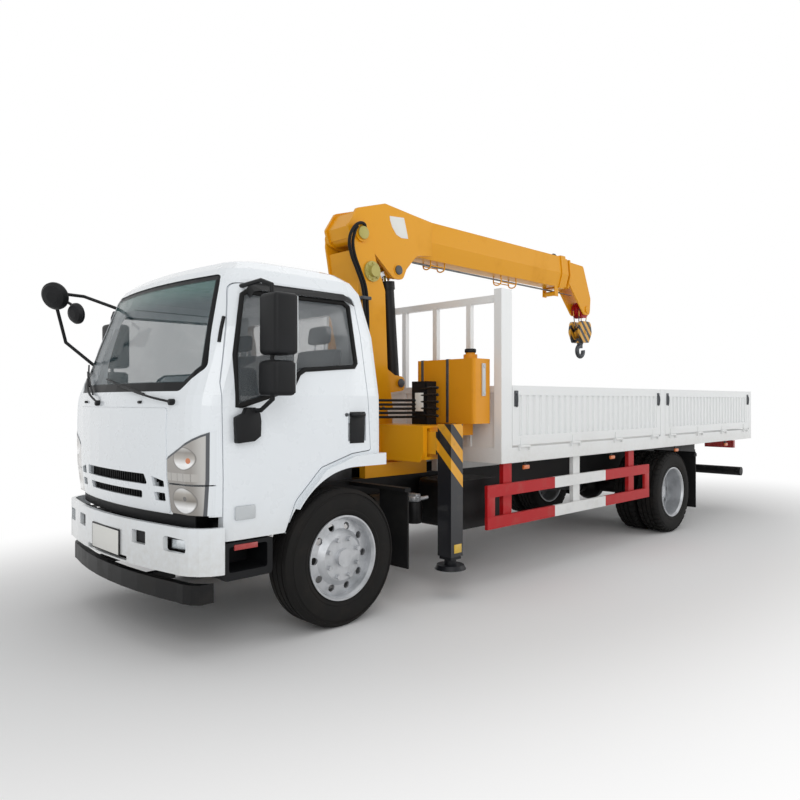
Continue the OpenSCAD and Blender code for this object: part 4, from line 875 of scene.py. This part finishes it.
def makeLevers():
    s = leverShape
    label = block("blankPanelLabel", (-1.2055, 0.60, 1.50), (-1.203, 0.70, 1.66), 0.0008)
    dress(label, plateBlank, "chassis")
    for index in range(s["count"]):
        z = s["low"] + index * s["step"]
        grip = rod("leverGrip", (-1.163, 0.845, z), (-1.145, 0.925, z), 0.012, 0.005, 16)
        dress(grip, blackPlastic, "chassis")


# A pin's cap is (x, z), its inner and outer y, its radius.
columnShape = {"chart": [(-1.307, 3.309), (-1.494, 3.325), (-1.551, 3.135), (-1.46, 3.128), (-1.393, 3.15),
                         (-1.34, 3.21), (-1.312, 3.27)],
               "rootFace": 0.168, "slewX": -1.05, "boltRing": 0.262, "bolts": 20, "boltTurn": 0.15,
               "pivotCap": ((-0.93, 3.08), (0.229, 0.242), 0.058),
               "liftPinCap": ((-1.42, 2.82), (0.171, 0.184), 0.044),
               "footPinCap": ((-1.51, 1.76), (0.111, 0.122), 0.042)}


def makeColumn():
    s = columnShape
    chart = plate("blankChart", [(x, s["rootFace"], z) for x, z in s["chart"]], (0, 0.003, 0), 0.001)
    dress(chart, plateBlank, "boom")
    for side, hand in ((1, "Left"), (-1, "Right")):
        for name, finish, body, slot in (("pivotCap", winchOlive, "crane_column", "winch_olive"),
                                         ("liftPinCap", ironGrey, "boom", "iron"),
                                         ("footPinCap", ironGrey, "crane_column", "iron")):
            (x, z), (inner, outer), radius = s[name]
            cap = rod(name + hand, (x, side * inner, z), (x, side * outer, z), radius, 0.004)
            dress(cap, finish, body)
    bolts = []
    for index in range(s["bolts"]):
        angle = index * 2 * math.pi / s["bolts"] + s["boltTurn"]
        x, y = s["slewX"] + s["boltRing"] * math.cos(angle), s["boltRing"] * math.sin(angle)
        bolts.append(rod("slewBolt", (x, y, 1.524), (x, y, 1.54), 0.013, 0.002, 6))
    dress(join("slewBolts", bolts), ironGrey, "crane_column")


# A run of rope is its y and its two ends' x, and a set of guides is its two ends' x and its lowest z.
ropeShape = {"height": 2.982, "plate": 3.004,
             "runs": {"boom": (0.0, -1.52, -4.30), "boom_stage_two": (0.016, -1.75, -4.40),
                      "boom_stage_three": (-0.016, -1.8, -4.72)},
             "guides": [(-2.20, -1.99, 2.93), (-3.43, -3.15, 2.905)],
             "eye": [(-4.36, 3.37), (-4.345, 3.405), (-4.30, 3.42), (-4.255, 3.405), (-4.24, 3.37)]}


def makeRope():
    s = ropeShape
    z, top = s["height"], s["plate"]
    for body, (y, x0, x1) in s["runs"].items():
        run = rod("ropeRun_" + body, (x0, y, z - 0.016), (x1, y, z - 0.03), 0.006, 0.001, 12)
        dress(run, ropeSteel, body)
    for index, (x0, x1, low) in enumerate(s["guides"]):
        loop = [(-0.05, top), (-0.05, low + 0.02), (-0.03, low),
                (0.03, low), (0.05, low + 0.02), (0.05, top)]
        guides = [tube("ropeGuide", [(x, y, z) for y, z in loop], 0.007) for x in (x0, x1)]
        for y in (-0.046, 0.046):
            guides.append(tube("ropeGuideRail", [(x0, y, low + 0.03), (x1, y, low + 0.03)], 0.006))
        dress(join("ropeGuides%d" % index, guides), craneYellow, "boom")
    roller = [rod("ropeRoller", (-4.217, -0.075, 2.915), (-4.217, 0.075, 2.915), 0.028, 0.004)]
    for y in (-0.085, 0.085):
        roller.append(block("rollerCheek", (-4.255, y - 0.006, 2.88), (-4.18, y + 0.006, top), 0.003))
    dress(join("ropeRoller", roller), craneYellow, "boom")
    eye = tube("liftingEye", [(x, 0, z) for x, z in s["eye"]], 0.009)
    dress(eye, ironGrey, "boom")


tankShape = {"straps": [0.50, 0.80], "strapWidth": 0.032, "gaugeX": -1.5075, "gaugeNuts": (1.655, 1.885)}


def makeTank():
    s = tankShape
    for y in s["straps"]:
        strap = block("tankStrap", (-1.6185, y, 1.40), (-1.3815, y + s["strapWidth"], 1.9535), 0.004)
        dress(strap, ironGrey, "chassis")
    cap = rod("tankCap", (-1.5, 0.98, 2.005), (-1.5, 0.98, 2.04), 0.05, 0.008)
    dress(cap, blackPlastic, "chassis")
    gauge = [block("levelGauge", (-1.53, 1.113, 1.63), (-1.485, 1.128, 1.91), 0.006)]
    x = s["gaugeX"]
    for z in s["gaugeNuts"]:
        gauge.append(rod("gaugeNut", (x, 1.11, z), (x, 1.135, z), 0.014, 0.002, 6))
    dress(join("levelGauge", gauge), clearLens, "chassis")


makeHoses()
makeLevers()
makeColumn()
makeRope()
makeTank()
print("crane fitted")


# Bed and chassis sides: latches on the drop sides, guard ends, leg reflectors, a filter, side lamps

bedShape = {"latches": {"front_left_side": (-1.86, -4.61), "rear_left_side": (-4.85, -7.44)},
            "latchHandle": [(1.206, 1.655), (1.214, 1.645), (1.214, 1.55), (1.208, 1.535)],
            "sideLamps": (-2.064, -3.62, -5.18, -6.74),
            "guardEnds": ((-1.608, -1.504), (-4.457, -4.353)),
            "legReflector": ((-1.17, 1.1595, 0.36), (-1.08, 1.1625, 0.43)),
            "filter": (-1.17, 0.62)}


def makeFilter():
    x, y = bedShape["filter"]
    can = rod("filterCan", (x, y, 0.53), (x, y, 0.72), 0.07, 0.012)
    dress(can, chassisBlack, "chassis")
    head = [rod("filterHead", (x, y, 0.72), (x, y, 0.765), 0.062, 0.008)]
    head.append(block("filterArm", (x - 0.03, 0.424, 0.755), (x + 0.03, 0.67, 0.785), 0.004))
    head.append(rod("filterPort", (-1.17, 0.66, 0.74), (-1.08, 0.70, 0.752), 0.016, 0.003))
    head.append(rod("filterPort", (-1.19, 0.66, 0.74), (-1.27, 0.69, 0.752), 0.016, 0.003))
    dress(join("filterHead", head), wheelSilver, "chassis")


def makeBed():
    s = bedShape
    for body, places in s["latches"].items():
        for x in places:
            latch = [block("latchPlateLeft", (x - 0.028, 1.199, 1.54), (x + 0.028, 1.206, 1.68), 0.003)]
            latch.append(tube("latchHandle", [(x, y, z) for y, z in s["latchHandle"]], 0.006))
            piece = join("latchLeft", latch)
            pair(piece, ironGrey, (body, body.replace("left", "right")))
    for x0, x1 in s["guardEnds"]:
        end = block("guardEndLeft", (x0, 1.1355, 0.597), (x1, 1.1645, 0.763), 0.002)
        pair(end, guardPaint, onChassis)
    reflector = block("legReflectorLeft", *s["legReflector"], 0.001)
    pair(reflector, yellowLens, ("left_outrigger", "right_outrigger"))
    makeFilter()
    for x in s["sideLamps"]:
        stem = block("sideLampBracketLeft", (x - 0.02, 1.14, 0.985), (x + 0.02, 1.15, 1.05), 0.002)
        pair(stem, chassisBlack, onChassis)
        lamp = block("bedLampLeft", (x - 0.045, 1.148, 0.975), (x + 0.045, 1.172, 1.012), 0.008)
        pair(lamp, amberLens, onChassis)


makeBed()
print("bed fitted")


# Seats: crowned cushions in the places of the plain ones

seatShape = {"driver": (0.285, 0.795), "bench": (-0.815, 0.195), "benchGap": 0.004, "headrestHalf": 0.125,
             "posts": (-0.06, 0.06),
             "cushion": [(-0.16, 1.215), (0.32, 1.215), (0.352, 1.46), (0.31, 1.535), (-0.06, 1.495)],
             "back": [(-0.195, 1.50), (-0.075, 1.515), (-0.155, 1.985), (-0.24, 1.985)],
             "headrest": [(-0.155, 2.025), (-0.178, 2.17), (-0.24, 2.17), (-0.23, 2.025)]}


def cushion(name, points, y0, y1):
    # an outline extruded across the truck, bevelled and subdivided to a crowned pad
    piece = plate(name, [(x, y0, z) for x, z in points], (0, y1 - y0, 0))
    bpy.ops.object.mode_set(mode="EDIT")
    bpy.ops.mesh.select_all(action="SELECT")
    bpy.ops.mesh.bevel(offset=0.03, segments=2, affect="EDGES", clamp_overlap=True)
    bpy.ops.mesh.select_all(action="SELECT")
    bpy.ops.mesh.quads_convert_to_tris()
    bpy.ops.mesh.tris_convert_to_quads()
    bpy.ops.object.mode_set(mode="OBJECT")
    pad = piece.modifiers.new("crown", "SUBSURF")
    pad.levels = pad.render_levels = 2
    bpy.ops.object.modifier_apply(modifier=pad.name)
    bpy.ops.object.shade_smooth()
    dress(piece, seatCloth, "cab")
    return piece


def makeSeat(name, y0, y1):
    s = seatShape
    mid, half = (y0 + y1) / 2, s["headrestHalf"]
    base = cushion(name + "Cushion", s["cushion"], y0, y1)
    cushion(name + "Back", s["back"], y0 + 0.01, y1 - 0.01)
    cushion(name + "Headrest", s["headrest"], mid - half, mid + half)
    posts = []
    for off in s["posts"]:
        y = mid + off
        posts.append(rod("headrestPost", (-0.2, y, 1.96), (-0.207, y, 2.06), 0.007, 0.001, 12))
    dress(join(name + "Posts", posts), rodChrome, "cab")
    return base


def makeSeats():
    s = seatShape
    first = makeSeat("driver", *s["driver"])
    y0, y1 = s["bench"]
    middle, gap = (y0 + y1) / 2, s["benchGap"]
    makeSeat("bench0", y0, middle - gap)
    makeSeat("bench1", middle + gap, y1)
    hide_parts("seats")


makeSeats()
print("seats padded")


# Floor, light and background

studio = {"floorHalf": 60.0, "shadowIn": 2.3, "shadowOut": 4.6, "ambient": 0.42}


def layFloor():
    f = Finish("studioFloor")
    along = f.node("ShaderNodeMapping", None, {"Vector": f.place, "Scale": (0.5, 1, 1)})
    reach = f.node("ShaderNodeVectorMath", {"operation": "LENGTH"}, {0: along}, out="Value")
    matt = f.node("ShaderNodeBsdfDiffuse", None, {"Color": (0.92, 0.92, 0.92, 1)})
    far = f.between(reach, studio["shadowIn"], studio["shadowOut"])
    glow = f.node("ShaderNodeEmission", None, {"Color": (1, 1, 1, 1), "Strength": 1.0})
    surface = f.node("ShaderNodeMixShader", None, {0: far, 1: matt, 2: glow})
    f.node("ShaderNodeOutputMaterial", None, {"Surface": surface})
    bpy.ops.object.select_all(action="DESELECT")
    bpy.ops.mesh.primitive_plane_add(size=2 * studio["floorHalf"], location=(0, 0, -0.002))
    floor = bpy.context.object
    floor.name = "studioFloor"
    bpy.ops.object.transform_apply(location=True, rotation=False, scale=True)
    floor.data.materials.append(f.material)


def lightStudio():
    world = bpy.data.worlds.new("studioWorld")
    bpy.context.scene.world = world
    world.use_nodes = True
    tree = world.node_tree
    tree.nodes.clear()
    path = tree.nodes.new("ShaderNodeLightPath")
    soft = tree.nodes.new("ShaderNodeBackground")
    soft.inputs["Color"].default_value = (1, 1, 1, 1)
    soft.inputs["Strength"].default_value = studio["ambient"]
    white = tree.nodes.new("ShaderNodeBackground")
    white.inputs["Color"].default_value = (1, 1, 1, 1)
    seen = tree.nodes.new("ShaderNodeMath")
    seen.operation = "ADD"
    seen.use_clamp = True
    bounce = tree.nodes.new("ShaderNodeMath")
    tree.links.new(path.outputs["Is Glossy Ray"], bounce.inputs[0])
    tree.links.new(path.outputs["Is Transmission Ray"], bounce.inputs[1])
    tree.links.new(path.outputs["Is Camera Ray"], seen.inputs[0])
    tree.links.new(bounce.outputs[0], seen.inputs[1])
    mixed = tree.nodes.new("ShaderNodeMixShader")
    out = tree.nodes.new("ShaderNodeOutputWorld")
    tree.links.new(seen.outputs[0], mixed.inputs[0])
    tree.links.new(soft.outputs[0], mixed.inputs[1])
    tree.links.new(white.outputs[0], mixed.inputs[2])
    tree.links.new(mixed.outputs[0], out.inputs[0])
    lamps = {
        "overhead": {"place": (0, 0, 12), "aim": (0, 0, 0), "size": 14, "watts": 330},
        "frontLeft": {"place": (9, 9, 6), "aim": (1, 0, 1.2), "size": 7, "watts": 330},
        "rearLeft": {"place": (-8, 9, 5), "aim": (-2, 0, 1.2), "size": 6, "watts": 180},
    }
    for name, lamp in lamps.items():
        data = bpy.data.lights.new(name, "AREA")
        data.size = lamp["size"]
        data.energy = lamp["watts"]
        light = bpy.data.objects.new(name, data)
        light.location = lamp["place"]
        along = Vector(lamp["aim"]) - Vector(lamp["place"])
        light.rotation_euler = along.to_track_quat("-Z", "Y").to_euler()
        bpy.context.scene.collection.objects.link(light)


layFloor()
lightStudio()
print("studio lit")
